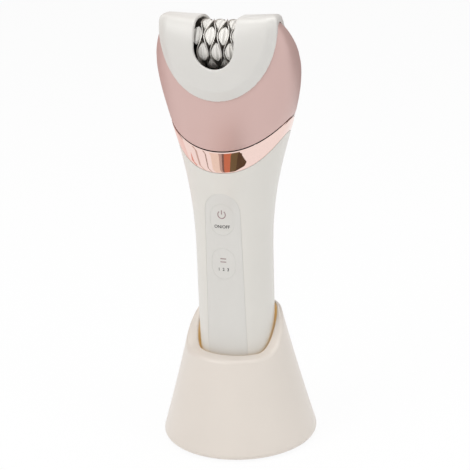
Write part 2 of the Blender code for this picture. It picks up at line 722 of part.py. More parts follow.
def make_motor():
    outline = []
    flat = math.asin(MOTOR_HALF_DEPTH / MOTOR_RADIUS)
    outline += arc((0.0, DRIVE_Y), MOTOR_RADIUS, -flat, flat, 10)
    outline += arc((0.0, DRIVE_Y), MOTOR_RADIUS, math.pi - flat, math.pi + flat, 10)
    bore = circle(MOTOR_SHAFT_RADIUS + CLEARANCE, 16, (0.0, DRIVE_Y))
    show(slab("motor_can", [outline, bore], "Z", MOTOR_FOOT_Z, MOTOR_TOP_Z), "steel")
    end_top = MOTOR_FOOT_Z - CLEARANCE
    show(slab("motor_end_cap", [outline, bore], "Z", end_top - MOTOR_END_CAP, end_top), "dark")

    axis_place = (0.0, DRIVE_Y)
    ends = (end_top - MOTOR_END_CAP, DOG_FOOT_Z + OVERLAP)
    shaft = rod("motor_shaft", "Z", axis_place, MOTOR_SHAFT_RADIUS, *ends)
    unite(shaft, rod("drive_dog", "Z", axis_place, DOG_RADIUS, DOG_FOOT_Z, DOG_TOP_Z, 6))
    show(shaft, "steel")

    seal_foot = TOP_SHELF_Z + TOP_SHELF_THICKNESS + CLEARANCE
    rings = [circle(SEAL_RADIUS, 24, axis_place), circle(MOTOR_SHAFT_RADIUS + CLEARANCE, 24, axis_place)]
    show(slab("shaft_seal", rings, "Z", seal_foot, seal_foot + SEAL_HEIGHT), "rubber")


def make_neck():
    low = RING_FOOT_Z + CLEARANCE / 2
    high = SEAM_Z - CLEARANCE / 2
    middle = (low + high) / 2
    seams = ((low, RING_TAPER), (middle, RING_TAPER / 2), (high, 0.0))
    outer = [smile_ring(level, 0.0, 1.0, taper) for level, taper in seams]
    inner = [smile_ring(level, RING_WALL, 1.0, taper) for level, taper in seams]
    show(loft("trim_ring", outer + inner[::-1], ring_shaped=True), "rose_chrome")

    inset = RING_WALL + CLEARANCE
    foot = NECK_TOP_Z - NECK_THICKNESS
    hole = DOG_RADIUS + CLEARANCE
    rings = [smile_circle(NECK_TOP_Z, hole, DRIVE_Y), smile_ring(NECK_TOP_Z, inset)]
    rings += [smile_ring(foot, inset), smile_circle(foot, hole, DRIVE_Y)]
    show(loft("neck_plate", rings, ring_shaped=True), "handle")


def u_outline(half_width, centre_z, top_z, steps=16):
    points = arc((0.0, centre_z), half_width, -math.pi, 0.0, steps)
    return [(-half_width, top_z)] + points + [(half_width, top_z)]


def cap_outline():
    """Skin cap seen from the front: half an ellipse below, rounded corners above."""
    bow = arc((0.0, 0.0), 1.0, -math.pi, 0.0, 20)
    points = [(CAP_HALF_WIDTH * across, CAP_ARC_Z + CAP_BOW * up) for across, up in bow]
    corner_x = CAP_HALF_WIDTH - CAP_CORNER
    corner_z = CAP_TOP_Z + CAP_CORNER_RISE - CAP_CORNER
    points += arc((corner_x, corner_z), CAP_CORNER, 0.0, math.pi / 2, 5)
    return points + arc((-corner_x, corner_z), CAP_CORNER, math.pi / 2, math.pi, 5)


def cap_section(y):
    """Outline of the skin cap at a depth; it narrows towards the back."""
    share = 1 - CAP_TAPER * (y + HEAD_FRONT_DEPTH) / CAP_HALF_WIDTH
    return [Vector((x * share, y, z)) for x, z in cap_outline()]


def front_prism(name, outline, front, back):
    return slab(name, [[(z, x) for x, z in outline]], "Y", front, back)


def head_rings(inset):
    """Rings of the head, inset from its skin, from the seam up to the rounded top."""
    rings = [smile_ring(SEAM_Z + CLEARANCE / 2, inset)]
    for share, bend in ((0.25, 0.6), (0.5, 0.2), (0.74, 0.0), (1.0, 0.0)):
        rings.append(smile_ring(mix(SEAM_Z, HEAD_Z, share), inset, bend))
    top = HEAD_TOP_Z - inset
    for share in (0.35, 0.6, 0.78, 0.9, 0.97, 0.995):
        rings.append(body_ring(mix(HEAD_Z, top, share), inset))
    return rings


def make_housing():
    outer = head_rings(0.0)
    inner = head_rings(HEAD_WALL)
    housing = loft("head_housing", outer + inner[::-1], ring_shaped=True)
    outline = u_outline(CHANNEL_HALF_WIDTH, CHANNEL_ARC_Z, CUT_TOP_Z)
    show(cut(housing, front_prism("head_channel", outline, -CUT_REACH, CUT_REACH)), "rose")

    inset = HEAD_WALL + CLEARANCE
    foot = SEAM_Z + COVER_RECESS
    top = foot + COVER_THICKNESS
    hole = SOCKET_RADIUS + 2 * CLEARANCE
    rings = [smile_circle(top, hole, DRIVE_Y), smile_ring(top, inset)]
    rings += [smile_ring(foot, inset), smile_circle(foot, hole, DRIVE_Y)]
    cover = loft("head_base_cover", rings, ring_shaped=True)
    for name, y in zip(("front", "rear"), SCREW_PLACES_ON_HEAD):
        centre = (0.0, y)
        hole = HEAD_SCREW_RADIUS + CLEARANCE
        seat = HEAD_SCREW_HEAD + CLEARANCE
        low = foot - OVERLAP
        head_foot = foot + HEAD_SCREW_SEAT - CLEARANCE - HEAD_SCREW_HEIGHT
        head_ends = (head_foot, head_foot + HEAD_SCREW_HEIGHT)
        shank_ends = (head_foot + HEAD_SCREW_HEIGHT / 2, FRAME_BASE_Z - OVERLAP)
        seat_top = foot + HEAD_SCREW_SEAT
        cut(cover, rod("head_screw_hole_" + name, "Z", centre, hole, low, top + 2 * OVERLAP), "MANIFOLD")
        cut(cover, rod("head_screw_seat_" + name, "Z", centre, seat, low, seat_top, 20), "MANIFOLD")
        screw = rod("head_screw_" + name, "Z", centre, HEAD_SCREW_HEAD, *head_ends, 20)
        unite(screw, rod("head_shank_" + name, "Z", centre, HEAD_SCREW_RADIUS, *shank_ends, 12))
        show(screw, "steel")
    show(cover, "dark")


def cheek_outline():
    """Side of the head frame, seen along X, around its three axles."""
    foot = FRAME_TOP_Z - FRAME_BASE_THICKNESS / 2
    front = DRUM_Y - CHEEK_FRONT
    back = DRIVE_Y + CHEEK_BACK
    top = DRUM_Z + CHEEK_TOP
    return [(front + AXLE_RADIUS, foot), (back, foot), (back, DRUM_Z - CHEEK_TOP),
            (DRIVE_Y, DRUM_Z + CHEEK_TOP / 2), (DRUM_Y + CHEEK_TOP, top),
            (DRUM_Y - CHEEK_TOP / 2, top), (front, DRUM_Z), (front, CROWN_Z)]


def make_frame():
    inset = HEAD_WALL + FRAME_INSET
    frame = loft("head_frame", [body_ring(FRAME_BASE_Z, inset), body_ring(FRAME_TOP_Z, inset)])
    left_end = LEFT_CHEEK_X - CHEEK_THICKNESS
    right_end = RIGHT_CHEEK_X + CHEEK_THICKNESS
    unite(frame, slab("left_cheek", [cheek_outline()], "X", left_end, LEFT_CHEEK_X))
    unite(frame, slab("right_cheek", [cheek_outline()], "X", RIGHT_CHEEK_X, right_end))
    foot = FRAME_TOP_Z - OVERLAP
    wall_y = DRUM_Y - CHEEK_FRONT
    wall_low = (left_end + OVERLAP, wall_y - FRAME_WALL, foot)
    wall_high = (GEAR_X - OVERLAP, wall_y + CLEARANCE / 3, CROWN_Z + CHEEK_TOP / 2)
    unite(frame, box("frame_front_wall", wall_low, wall_high))
    post_start = CROWN_POST_X - CROWN_POST_THICKNESS
    post_low = (post_start, DRIVE_Y - CROWN_POST_HALF_DEPTH, foot)
    post_high = (CROWN_POST_X, DRIVE_Y + CROWN_POST_HALF_DEPTH, CROWN_Z + CROWN_POST_RISE)
    unite(frame, box("crown_post", post_low, post_high))
    bush_foot = SOCKET_TOP_Z + CLEARANCE
    base = FRAME_BASE_Z + OVERLAP
    unite(frame, rod("input_bush", "Z", (0.0, DRIVE_Y), INPUT_BUSH_RADIUS, bush_foot, base))
    cover_top = SEAM_Z + COVER_RECESS + COVER_THICKNESS
    for name, y in zip(("front", "rear"), SCREW_PLACES_ON_HEAD):
        column_foot = cover_top + 2 * CLEARANCE
        unite(frame, rod("frame_column_" + name, "Z", (0.0, y), COLUMN_RADIUS, column_foot, base))
        pilot = HEAD_SCREW_RADIUS + CLEARANCE
        pilot_top = FRAME_BASE_Z - OVERLAP + CLEARANCE
        cut(frame, rod("frame_pilot_" + name, "Z", (0.0, y), pilot, cover_top, pilot_top, 16))
    idler_y, idler_z = idler_place()
    stub_end = RIGHT_CHEEK_X + OVERLAP
    unite(frame, rod("idler_stub", "X", (idler_y, idler_z), PIN_RADIUS, GEAR_X, stub_end, 16))
    hole = SHAFT_RADIUS + CLEARANCE
    ends = (bush_foot - OVERLAP, FRAME_TOP_Z + OVERLAP)
    cut(frame, rod("input_hole", "Z", (0.0, DRIVE_Y), hole, *ends))
    drum_hole = AXLE_RADIUS + CLEARANCE
    ends = (left_end - OVERLAP, right_end + OVERLAP)
    cut(frame, rod("drum_axle_hole", "X", (DRUM_Y, DRUM_Z), drum_hole, *ends))
    crown_hole = PIN_RADIUS + CLEARANCE
    ends = (post_start - OVERLAP, right_end + OVERLAP)
    cut(frame, rod("crown_axle_hole", "X", (DRIVE_Y, CROWN_Z), crown_hole, *ends))
    show(frame, "dark")

    axle_end = right_end - CLEARANCE
    show(rod("drum_axle", "X", (DRUM_Y, DRUM_Z), AXLE_RADIUS, left_end + CLEARANCE, axle_end, 20), "steel")
    pin_start = post_start + CLEARANCE
    show(rod("crown_axle", "X", (DRIVE_Y, CROWN_Z), PIN_RADIUS, pin_start, axle_end, 16), "steel")


def gear_outline(teeth, module, first_tooth):
    """Spur gear teeth with straight flanks, narrow enough to leave backlash."""
    pitch_radius = teeth * module / 2
    step = 2 * math.pi / teeth
    radii = (pitch_radius - 1.15 * module, pitch_radius, pitch_radius + 0.8 * module)
    half_widths = (0.31 * step, 0.20 * step, 0.09 * step)
    points = []
    for tooth in range(teeth):
        middle = first_tooth + tooth * step
        for radius, half in zip(radii, half_widths):
            points.append((radius * math.cos(middle - half), radius * math.sin(middle - half)))
        for radius, half in reversed(tuple(zip(radii, half_widths))):
            points.append((radius * math.cos(middle + half), radius * math.sin(middle + half)))
    return points


def axis_empty(name, y, z):
    empty = bpy.data.objects.new(name, None)
    empty.location = (0.0, y, z)
    empty.empty_display_size = 0.01
    parts.objects.link(empty)
    return empty


def crown_band(name):
    """Toothed band of the crown: an annulus whose face rises into teeth that point at the pinion."""
    tip_x = FACE_PITCH_RADIUS - 0.7 * FACE_MODULE
    step = 2 * math.pi / CROWN_TEETH
    rings = [[], [], [], []]
    for tooth in range(CROWN_TEETH):
        middle = -math.pi / 2 + (tooth + 0.5) * step
        for share, face_x in ((-0.23, CROWN_FACE_X), (-0.08, tip_x), (0.08, tip_x), (0.23, CROWN_FACE_X)):
            angle = middle + share * step
            across = Vector((0.0, math.cos(angle), math.sin(angle)))
            rings[0].append(across * CROWN_INNER + Vector((face_x, 0.0, 0.0)))
            rings[1].append(across * CROWN_OUTER + Vector((face_x, 0.0, 0.0)))
            rings[2].append(across * CROWN_OUTER + Vector((CROWN_BACK_X, 0.0, 0.0)))
            rings[3].append(across * CROWN_INNER + Vector((CROWN_BACK_X, 0.0, 0.0)))
    return loft(name, rings, ring_shaped=True)


def make_gears():
    """Pinion, crown with its spur, idler and drum gear, meshed at rest."""
    socket = rod("input_shaft", "Z", (0.0, 0.0), SOCKET_RADIUS, SOCKET_FOOT_Z, SOCKET_TOP_Z)
    ends = (SOCKET_FOOT_Z - OVERLAP, DOG_TOP_Z + CLEARANCE)
    cut(socket, rod("socket_bore", "Z", (0.0, 0.0), DOG_RADIUS + 1.3 * CLEARANCE, *ends, 6))
    collar_foot = FRAME_TOP_Z + CLEARANCE
    ends = (SOCKET_TOP_Z - OVERLAP / 2, collar_foot + OVERLAP)
    unite(socket, rod("input_stem", "Z", (0.0, 0.0), SHAFT_RADIUS, *ends))
    unite(socket, rod("input_collar", "Z", (0.0, 0.0), COLLAR_RADIUS, collar_foot, PINION_FOOT_Z))
    pinion = gear_outline(FACE_PINION_TEETH, FACE_MODULE, 0.0)
    unite(socket, slab("face_pinion", [pinion], "Z", PINION_FOOT_Z - OVERLAP / 2, PINION_TOP_Z))
    show(socket, "acetal", axis_empty("input_axis", DRIVE_Y, 0.0))

    crown_axis = axis_empty("crown_axis", DRIVE_Y, CROWN_Z)
    drum_axis = axis_empty("drum_axis", DRUM_Y, DRUM_Z)
    idler_y, idler_z = idler_place()
    idler_axis = axis_empty("idler_axis", idler_y, idler_z)

    bore = PIN_RADIUS + CLEARANCE
    crown = crown_band("crown_gear")
    web = (CROWN_FACE_X + CLEARANCE, CROWN_BACK_X - CLEARANCE)
    unite(crown, rod("crown_web", "X", (0.0, 0.0), CROWN_INNER + CROWN_BAND / 5, *web, 36))
    hub = (CROWN_BACK_X - OVERLAP / 2, GEAR_X + OVERLAP / 2)
    unite(crown, rod("crown_hub", "X", (0.0, 0.0), CROWN_HUB_RADIUS, *hub))
    to_idler = math.atan2(idler_z - CROWN_Z, idler_y - DRIVE_Y)
    spur = gear_outline(SPUR_TEETH, SPUR_MODULE, to_idler)
    unite(crown, slab("crown_spur", [spur], "X", GEAR_X, GEAR_END_X))
    cut(crown, rod("crown_bore", "X", (0.0, 0.0), bore, 0.0, GEAR_END_X + OVERLAP))
    show(crown, "acetal", crown_axis)

    idler_step = 2 * math.pi / IDLER_TEETH
    idler_first = to_idler + math.pi + idler_step / 2
    outline = gear_outline(IDLER_TEETH, SPUR_MODULE, idler_first)
    show(slab("idler_gear", [outline, circle(bore, 16)], "X", GEAR_X, GEAR_END_X), "acetal", idler_axis)

    to_drum = math.atan2(DRUM_Z - idler_z, DRUM_Y - idler_y)
    lag = idler_first - to_drum
    drum_step = 2 * math.pi / DRUM_TEETH
    drum_first = to_drum + math.pi + drum_step / 2 - lag * IDLER_TEETH / DRUM_TEETH
    outline = gear_outline(DRUM_TEETH, SPUR_MODULE, drum_first)
    gear = slab("drum_gear", [outline], "X", GEAR_X, GEAR_END_X)
    unite(gear, rod("drum_sleeve", "X", (0.0, 0.0), SLEEVE_RADIUS, -FLANGE_X, GEAR_X + OVERLAP, 6))
    cut(gear, rod("drum_bore", "X", (0.0, 0.0), AXLE_RADIUS + CLEARANCE, -2 * FLANGE_X, 2 * FLANGE_X))
    show(gear, "acetal", drum_axis)
    return drum_axis


def wave(angle, sign):
    return sign * DISC_WAVE * math.cos(WAVES * (angle - WAVE_PHASE))


def make_disc(index, drum_axis):
    """Wavy tweezer disc; its neighbours wave the other way, so the gaps open in turn."""
    middle = (index - (DISC_COUNT - 1) / 2) * DISC_PITCH
    sign = -1 if index % 2 else 1
    if (DISC_COUNT // 2) % 2 == 0:
        sign = -sign
    half = DISC_THICKNESS / 2
    rings = []
    for radius, side in ((DISC_RADIUS, -half), (DISC_RADIUS, half), (DISC_BORE, half), (DISC_BORE, -half)):
        ring = []
        for angle in angles():
            x = middle + wave(angle, -sign) + side
            ring.append((x, radius * math.cos(angle), radius * math.sin(angle)))
        rings.append(ring)
    show(loft(f"tweezer_disc_{index + 1}", rings, ring_shaped=True), "steel", drum_axis)


def spacer_pad(name, middle, centre_angle, outer_side):
    """Lens-shaped pad that fills one opening between two discs."""
    rings = []
    plain = DISC_PITCH / 2 - DISC_THICKNESS / 2 - CLEARANCE
    for step in range(-2, 3):
        swing = math.radians(120) * step / 2
        angle = centre_angle + swing / WAVES
        half = plain + DISC_WAVE * math.cos(swing)
        neck = min(half - CLEARANCE / 6, DISC_PITCH / 2 - CLEARANCE)
        left = -DISC_PITCH / 2 if outer_side < 0 else -half
        right = DISC_PITCH / 2 if outer_side > 0 else half
        root = DISC_BORE - 3 * CLEARANCE
        seat = DISC_BORE + CLEARANCE / 2
        ring = []
        for radius, x in ((root, -neck), (root, neck), (seat, neck), (seat, right), (SPACER_RADIUS, right),
                          (SPACER_RADIUS, left), (seat, left), (seat, -neck)):
            ring.append((middle + x, radius * math.cos(angle), radius * math.sin(angle)))
        rings.append(ring)
    return loft(name, rings)


def make_spacer(index, drum_axis):
    """Hub ring between two discs, with a pad in each of its openings."""
    middle = (index - DISC_COUNT / 2) * DISC_PITCH
    last = DISC_COUNT
    half = (DISC_PITCH - CLEARANCE) / 2
    outer_side = -1 if index == 0 else (1 if index == last else 0)
    name = f"pad_spacer_{index + 1}"
    hub = DISC_BORE - CLEARANCE
    spacer = rod(name, "X", (0.0, 0.0), hub, middle - half, middle + half, 20)
    if outer_side:
        near = middle + outer_side * (half - FLANGE_THICKNESS / 3)
        far = outer_side * FLANGE_X
        ends = (min(near, far), max(near, far))
        flange = rod(name + "_flange", "X", (0.0, 0.0), SPACER_RADIUS - CLEARANCE, *ends, 28)
        unite(spacer, flange, "MANIFOLD")
    shift = math.pi / WAVES if (index - DISC_COUNT // 2) % 2 else 0.0
    for pad in range(WAVES):
        centre_angle = WAVE_PHASE + shift + pad * 2 * math.pi / WAVES
        unite(spacer, spacer_pad(f"{name}_pad_{pad + 1}", middle, centre_angle, outer_side), "MANIFOLD")
    grip = SLEEVE_RADIUS + 1.2 * CLEARANCE
    cut(spacer, rod(name + "_bore", "X", (0.0, 0.0), grip, -2 * FLANGE_X, 2 * FLANGE_X, 6), "MANIFOLD")
    show(spacer, "pad_white", drum_axis)


def cap_ring(z, proud, top):
    """Ring of the skin cap's outside, which keeps its full width up to its top."""
    width, front, back, power = section(min(z, HEAD_Z))
    back = back_depth(z)
    half_depth = (front + back) / 2 + proud
    rise = min(max((z - HEAD_Z) / (top - HEAD_Z), 0.0), 1.0)
    half_depth *= (1 - rise ** DOME_POWER) ** (1 / DOME_POWER)
    ring = []
    for angle in angles():
        point = rounded(angle, width + proud, (back - front) / 2, half_depth, power, z)
        point.z += CAP_CORNER_RISE * (point.x / CAP_HALF_WIDTH) ** 2 * rise
        ring.append(point)
    return ring


def make_skin_cap():
    heights = [mix(SEAM_Z, HEAD_Z, share) for share in (0.45, 0.74, 1.0)]
    heights += [mix(HEAD_Z, CAP_TOP_Z, share) for share in (0.3, 0.5, 0.68, 0.82, 0.92, 0.98, 0.9995)]
    cap = loft("skin_cap", [cap_ring(z, CAP_PROUD, CAP_TOP_Z) for z in heights])
    keep_common(cap, loft("cap_outline", [cap_section(-CUT_REACH), cap_section(CUT_REACH)]), "MANIFOLD")
    inner = loft("cap_hollow", head_rings(-CLEARANCE))
    cut(cap, inner, "MANIFOLD")
    slot = u_outline(SLOT_HALF_WIDTH, SLOT_ARC_Z, CUT_TOP_Z, 12)
    cut(cap, front_prism("cap_slot", slot, -CUT_REACH, SLOT_BACK_Y), "MANIFOLD")
    show(cap, "cap")


def skirt_radius(z):
    share = z / STAND_HEIGHT
    return mix(STAND_RADIUS, STAND_RIM_RADIUS, share) - STAND_FLARE * 4 * share * (1 - share)


def rim_height(angle):
    y = -STAND_RIM_RADIUS * math.cos(angle)
    share = smoothstep((y - RIM_FRONT_Y) / (RIM_BACK_Y - RIM_FRONT_Y))
    return mix(FRONT_RIM_Z, BACK_RIM_Z, share)


def stand_ring(radius_at, height_at):
    ring = []
    for angle in angles():
        z = height_at(angle)
        radius = radius_at(z)
        ring.append(Vector((radius * math.sin(angle), -radius * math.cos(angle), z)))
    return ring


def well_ring(height_at, outset):
    return [body_point(angle, height_at(angle), -outset) for angle in angles()]


def make_stand_shell():
    """Flared skirt, curved rim and well, in one moulding that is open underneath."""
    floor_foot = WELL_FLOOR_Z - WELL_FLOOR_THICKNESS
    outside = WELL_GAP + WELL_WALL

    def hollow_top(angle):
        return min(rim_height(angle) - 2 * RIM_THICKNESS, HOLLOW_TOP_Z)

    def inner_skirt(z):
        return skirt_radius(z) - STAND_WALL

    rings = [stand_ring(lambda z: FLOOR_HUB_RADIUS, lambda angle: floor_foot)]
    rings.append(well_ring(lambda angle: floor_foot, outside))
    rings.append(well_ring(hollow_top, outside))
    rings.append(stand_ring(inner_skirt, hollow_top))
    rings.append(stand_ring(inner_skirt, lambda angle: HOLLOW_TOP_Z / 2))
    rings.append(stand_ring(inner_skirt, lambda angle: STAND_SKIRT_Z))
    rings.append(stand_ring(lambda z: skirt_radius(z) - RIM_ROUND, lambda angle: STAND_SKIRT_Z))
    rings.append(stand_ring(skirt_radius, lambda angle: STAND_SKIRT_Z + RIM_ROUND))
    for share in (0.3, 0.6, 0.85):
        rings.append(stand_ring(skirt_radius, lambda angle: mix(STAND_SKIRT_Z, rim_height(angle), share)))
    rings.append(stand_ring(skirt_radius, lambda angle: rim_height(angle) - RIM_ROUND))
    rings.append(stand_ring(lambda z: skirt_radius(z) - 0.8 * RIM_ROUND, rim_height))
    rings.append(well_ring(rim_height, WELL_GAP + RIM_ROUND / 2))
    rings.append(well_ring(lambda angle: rim_height(angle) - RIM_ROUND, WELL_GAP))
    rings.append(well_ring(lambda angle: mix(WELL_FLOOR_Z, FRONT_RIM_Z, 0.55), WELL_GAP))
    rings.append(well_ring(lambda angle: WELL_FLOOR_Z, WELL_GAP))
    rings.append(stand_ring(lambda z: FLOOR_HUB_RADIUS, lambda angle: WELL_FLOOR_Z))
    return loft("stand_shell", rings)


def around(radius, turn):
    return radius * math.sin(turn), -radius * math.cos(turn)


def make_stand():
    shell = make_stand_shell()
    plate_radius = skirt_radius(PLATE_TOP_Z) - STAND_WALL - CLEARANCE
    plate = rod("stand_base_plate", "Z", (0.0, 0.0), plate_radius, PLATE_FOOT_Z, PLATE_TOP_Z, BODY_SIDES)
    for number, degrees in enumerate((60, 180, 300), start=1):
        place_xy = around(STAND_SCREW_CIRCLE, math.radians(degrees))
        boss_foot = PLATE_TOP_Z + CLEARANCE
        boss_top = WELL_FLOOR_Z + BOSS_RISE
        boss = rod(f"stand_boss_{number}", "Z", place_xy, BOSS_RADIUS, boss_foot, boss_top, 20)
        unite(shell, boss, "MANIFOLD")
        pilot = STAND_SCREW_RADIUS + CLEARANCE
        pilot_top = boss_top - BOSS_ROOF
        pilot_ends = (boss_foot - OVERLAP, pilot_top)
        cut(shell, rod(f"stand_pilot_{number}", "Z", place_xy, pilot, *pilot_ends, 16), "MANIFOLD")
        low = PLATE_FOOT_Z - OVERLAP
        cut(plate, rod(f"plate_hole_{number}", "Z", place_xy, pilot, low, PLATE_TOP_Z + OVERLAP, 16))
        seat = PLATE_FOOT_Z + PLATE_SEAT
        seat_radius = STAND_SCREW_HEAD + CLEARANCE
        cut(plate, rod(f"plate_seat_{number}", "Z", place_xy, seat_radius, low, seat, 20))
        head_top = seat - CLEARANCE
        screw = rod(f"stand_screw_{number}", "Z", place_xy, STAND_SCREW_HEAD, PLATE_FOOT_Z, head_top, 20)
        shank_ends = ((PLATE_FOOT_Z + head_top) / 2, pilot_top - CLEARANCE)
        unite(screw, rod(f"stand_shank_{number}", "Z", place_xy, STAND_SCREW_RADIUS, *shank_ends, 16))
        show(screw, "steel")
    for number, degrees in enumerate((45, 135, 225, 315), start=1):
        place_xy = around(FOOT_PAD_CIRCLE, math.radians(degrees))
        show(rod(f"stand_foot_{number}", "Z", place_xy, FOOT_PAD_RADIUS, 0.0, FOOT_PAD_HEIGHT, 28), "rubber")
    show(plate, "ivory")

    post_top = FOOT_Z - CLEARANCE
    board_top = WELL_FLOOR_Z - WELL_FLOOR_THICKNESS - CHARGE_BOARD_GAP
    board_reach = PAD_SPACING / 2 + CHARGE_BOARD_MARGIN
    board = box("charge_board", (-board_reach, -CHARGE_BOARD_MARGIN, board_top - BOARD_THICKNESS),
                (board_reach, CHARGE_BOARD_MARGIN, board_top))
    show(board, "board")
    for name, side in (("left", -1), ("right", 1)):
        centre = (side * PAD_SPACING / 2, 0.0)
        post_hole = POST_RADIUS + CLEARANCE
        hole_ends = (board_top - BOARD_THICKNESS, WELL_FLOOR_Z + OVERLAP)
        cut(shell, rod("post_hole_" + name, "Z", centre, post_hole, *hole_ends, 16), "MANIFOLD")
        post_foot = board_top + CLEARANCE
        show(rod("contact_post_" + name, "Z", centre, POST_RADIUS, post_foot, post_top), "brass")

    inlet_foot = PLATE_TOP_Z + CLEARANCE
    inlet_top = inlet_foot + INLET_HEIGHT
    inlet_end = skirt_radius(inlet_top) - INLET_RECESS
    inlet = box("power_inlet", (-INLET_HALF_WIDTH, inlet_end - INLET_LENGTH, inlet_foot),
                (INLET_HALF_WIDTH, inlet_end, inlet_top))
    middle = (inlet_foot + inlet_top) / 2
    bore = INLET_BORE_HEIGHT / 2
    cut(inlet, box("inlet_bore", (-INLET_BORE_HALF_WIDTH, inlet_end - INLET_BORE_DEPTH, middle - bore),
                   (INLET_BORE_HALF_WIDTH, inlet_end + OVERLAP, middle + bore)))
    show(inlet, "dark")
    gap = CLEARANCE
    low = (-INLET_HALF_WIDTH - gap, inlet_end - INLET_LENGTH - gap, inlet_foot - gap)
    high = (INLET_HALF_WIDTH + gap, STAND_RADIUS + OVERLAP, inlet_top + gap)
    cut(shell, box("inlet_window", low, high), "MANIFOLD")
    show(shell, "ivory")


clear_scene()
parts = new_collection("epilator")
cutters = new_collection("epilator_cutters")
make_handle()
make_bottom_cap()
make_chassis()
make_motor()
make_neck()
make_housing()
make_frame()
drum = make_gears()
for disc in range(DISC_COUNT):
    make_disc(disc, drum)
for spacer_index in range(DISC_COUNT + 1):
    make_spacer(spacer_index, drum)
make_skin_cap()
make_stand()
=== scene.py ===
# %% [markdown]
# # An epilator on its stand
#
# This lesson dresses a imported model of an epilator: a pale handle with a rose head, a shiny ring
# between them and a drum of tweezer discs behind a slot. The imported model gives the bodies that
# move, and the sizes here follow it. Each step makes one piece or finish, and says why that way.

# %% Load the frame
import json
import math
from contextlib import contextmanager

import bpy
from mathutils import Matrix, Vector


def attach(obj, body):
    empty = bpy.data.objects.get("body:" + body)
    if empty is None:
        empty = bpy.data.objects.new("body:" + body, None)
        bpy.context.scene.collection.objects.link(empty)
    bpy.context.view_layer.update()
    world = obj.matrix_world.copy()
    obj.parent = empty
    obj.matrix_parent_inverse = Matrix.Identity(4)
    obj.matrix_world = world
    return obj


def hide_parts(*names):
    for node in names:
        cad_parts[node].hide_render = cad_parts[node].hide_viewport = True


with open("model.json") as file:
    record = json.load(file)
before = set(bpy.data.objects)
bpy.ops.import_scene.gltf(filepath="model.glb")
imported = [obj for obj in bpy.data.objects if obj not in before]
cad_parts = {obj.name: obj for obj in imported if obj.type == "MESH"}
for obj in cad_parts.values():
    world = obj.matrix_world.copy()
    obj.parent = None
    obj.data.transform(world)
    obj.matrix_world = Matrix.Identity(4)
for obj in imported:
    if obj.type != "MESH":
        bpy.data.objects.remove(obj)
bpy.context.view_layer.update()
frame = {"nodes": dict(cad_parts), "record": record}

# %% [markdown]
# ## Camera
#
# The photograph looks down on the object a little, from the right of its front, through a long
# lens, and leans by almost two degrees. A long lens far away keeps upright sides nearly parallel.
# The camera could be placed by eye, but angles and a distance can be read and changed.

# %% Camera
CAMERA_TURN = math.radians(19.0)
CAMERA_RISE = math.radians(18.0)
CAMERA_LEAN = math.radians(1.86)
CAMERA_DISTANCE = 0.620
CAMERA_TARGET = Vector((0.0, 0.0, 0.09135))
CAMERA_LENS = 110.54
CAMERA_SENSOR = 36.0
CAMERA_SHIFT = 0.0008

away = Vector((
    math.sin(CAMERA_TURN) * math.cos(CAMERA_RISE),
    -math.cos(CAMERA_TURN) * math.cos(CAMERA_RISE),
    math.sin(CAMERA_RISE)))
bpy.ops.object.camera_add(location=CAMERA_TARGET + away * CAMERA_DISTANCE)
camera = bpy.context.object
camera.data.sensor_width = CAMERA_SENSOR
camera.data.lens = CAMERA_LENS
camera.data.shift_x = CAMERA_SHIFT
camera.rotation_euler = (-away).to_track_quat("-Z", "Y").to_euler()
camera.rotation_euler.rotate_axis("Z", -CAMERA_LEAN)
bpy.context.scene.camera = camera
print("camera at", [round(value, 3) for value in camera.location])

# %% [markdown]
# ## Shader maths
#
# A finish is easier to read as a formula than as a heap of nodes. `Value` wraps one socket, and
# each sign adds one Math node. `NodeTree` makes every other node with its `node` method, and
# `Finish` is the tree of a material, with its Principled shader.

# %% Values and node trees
class Value:
    """One number of a shader, on which the signs + and * work."""

    def __init__(self, nodes, socket):
        self.nodes = nodes
        self.socket = socket

    def math(self, operation, first, second):
        return self.nodes.node("ShaderNodeMath", {"operation": operation}, {0: first, 1: second})

    def __add__(self, other):
        return self.math("ADD", self, other)

    def __radd__(self, other):
        return self.math("ADD", other, self)

    def __mul__(self, other):
        return self.math("MULTIPLY", self, other)

    def __rmul__(self, other):
        return self.math("MULTIPLY", other, self)


class NodeTree:
    """The nodes of a material or a world, with one method that makes them."""

    def __init__(self, owner):
        owner.use_nodes = True
        self.tree = owner.node_tree

    def feed(self, node, sockets):
        for key, value in sockets.items():
            if isinstance(value, Value):
                self.tree.links.new(value.socket, node.inputs[key])
            else:
                node.inputs[key].default_value = value

    def node(self, kind, settings, sockets, output=0):
        made = self.tree.nodes.new(kind)
        for key, value in settings.items():
            setattr(made, key, value)
        self.feed(made, sockets)
        return Value(self, made.outputs[output])

    def seen_rays(self):
        """One for a ray that shows a thing: straight, in a mirror or through glass."""
        straight = self.node("ShaderNodeLightPath", {}, {}, "Is Camera Ray")
        mirrored = self.node("ShaderNodeLightPath", {}, {}, "Is Glossy Ray")
        through = self.node("ShaderNodeLightPath", {}, {}, "Is Transmission Ray")
        return straight + mirrored + through


print("signs of a value: + and *")

# %% Finishes
# A Mix node has sockets for numbers, vectors and colours, and these are the ones for colours.
MIX_FIRST_COLOUR = 6
MIX_SECOND_COLOUR = 7
MIX_COLOUR_OUT = 2


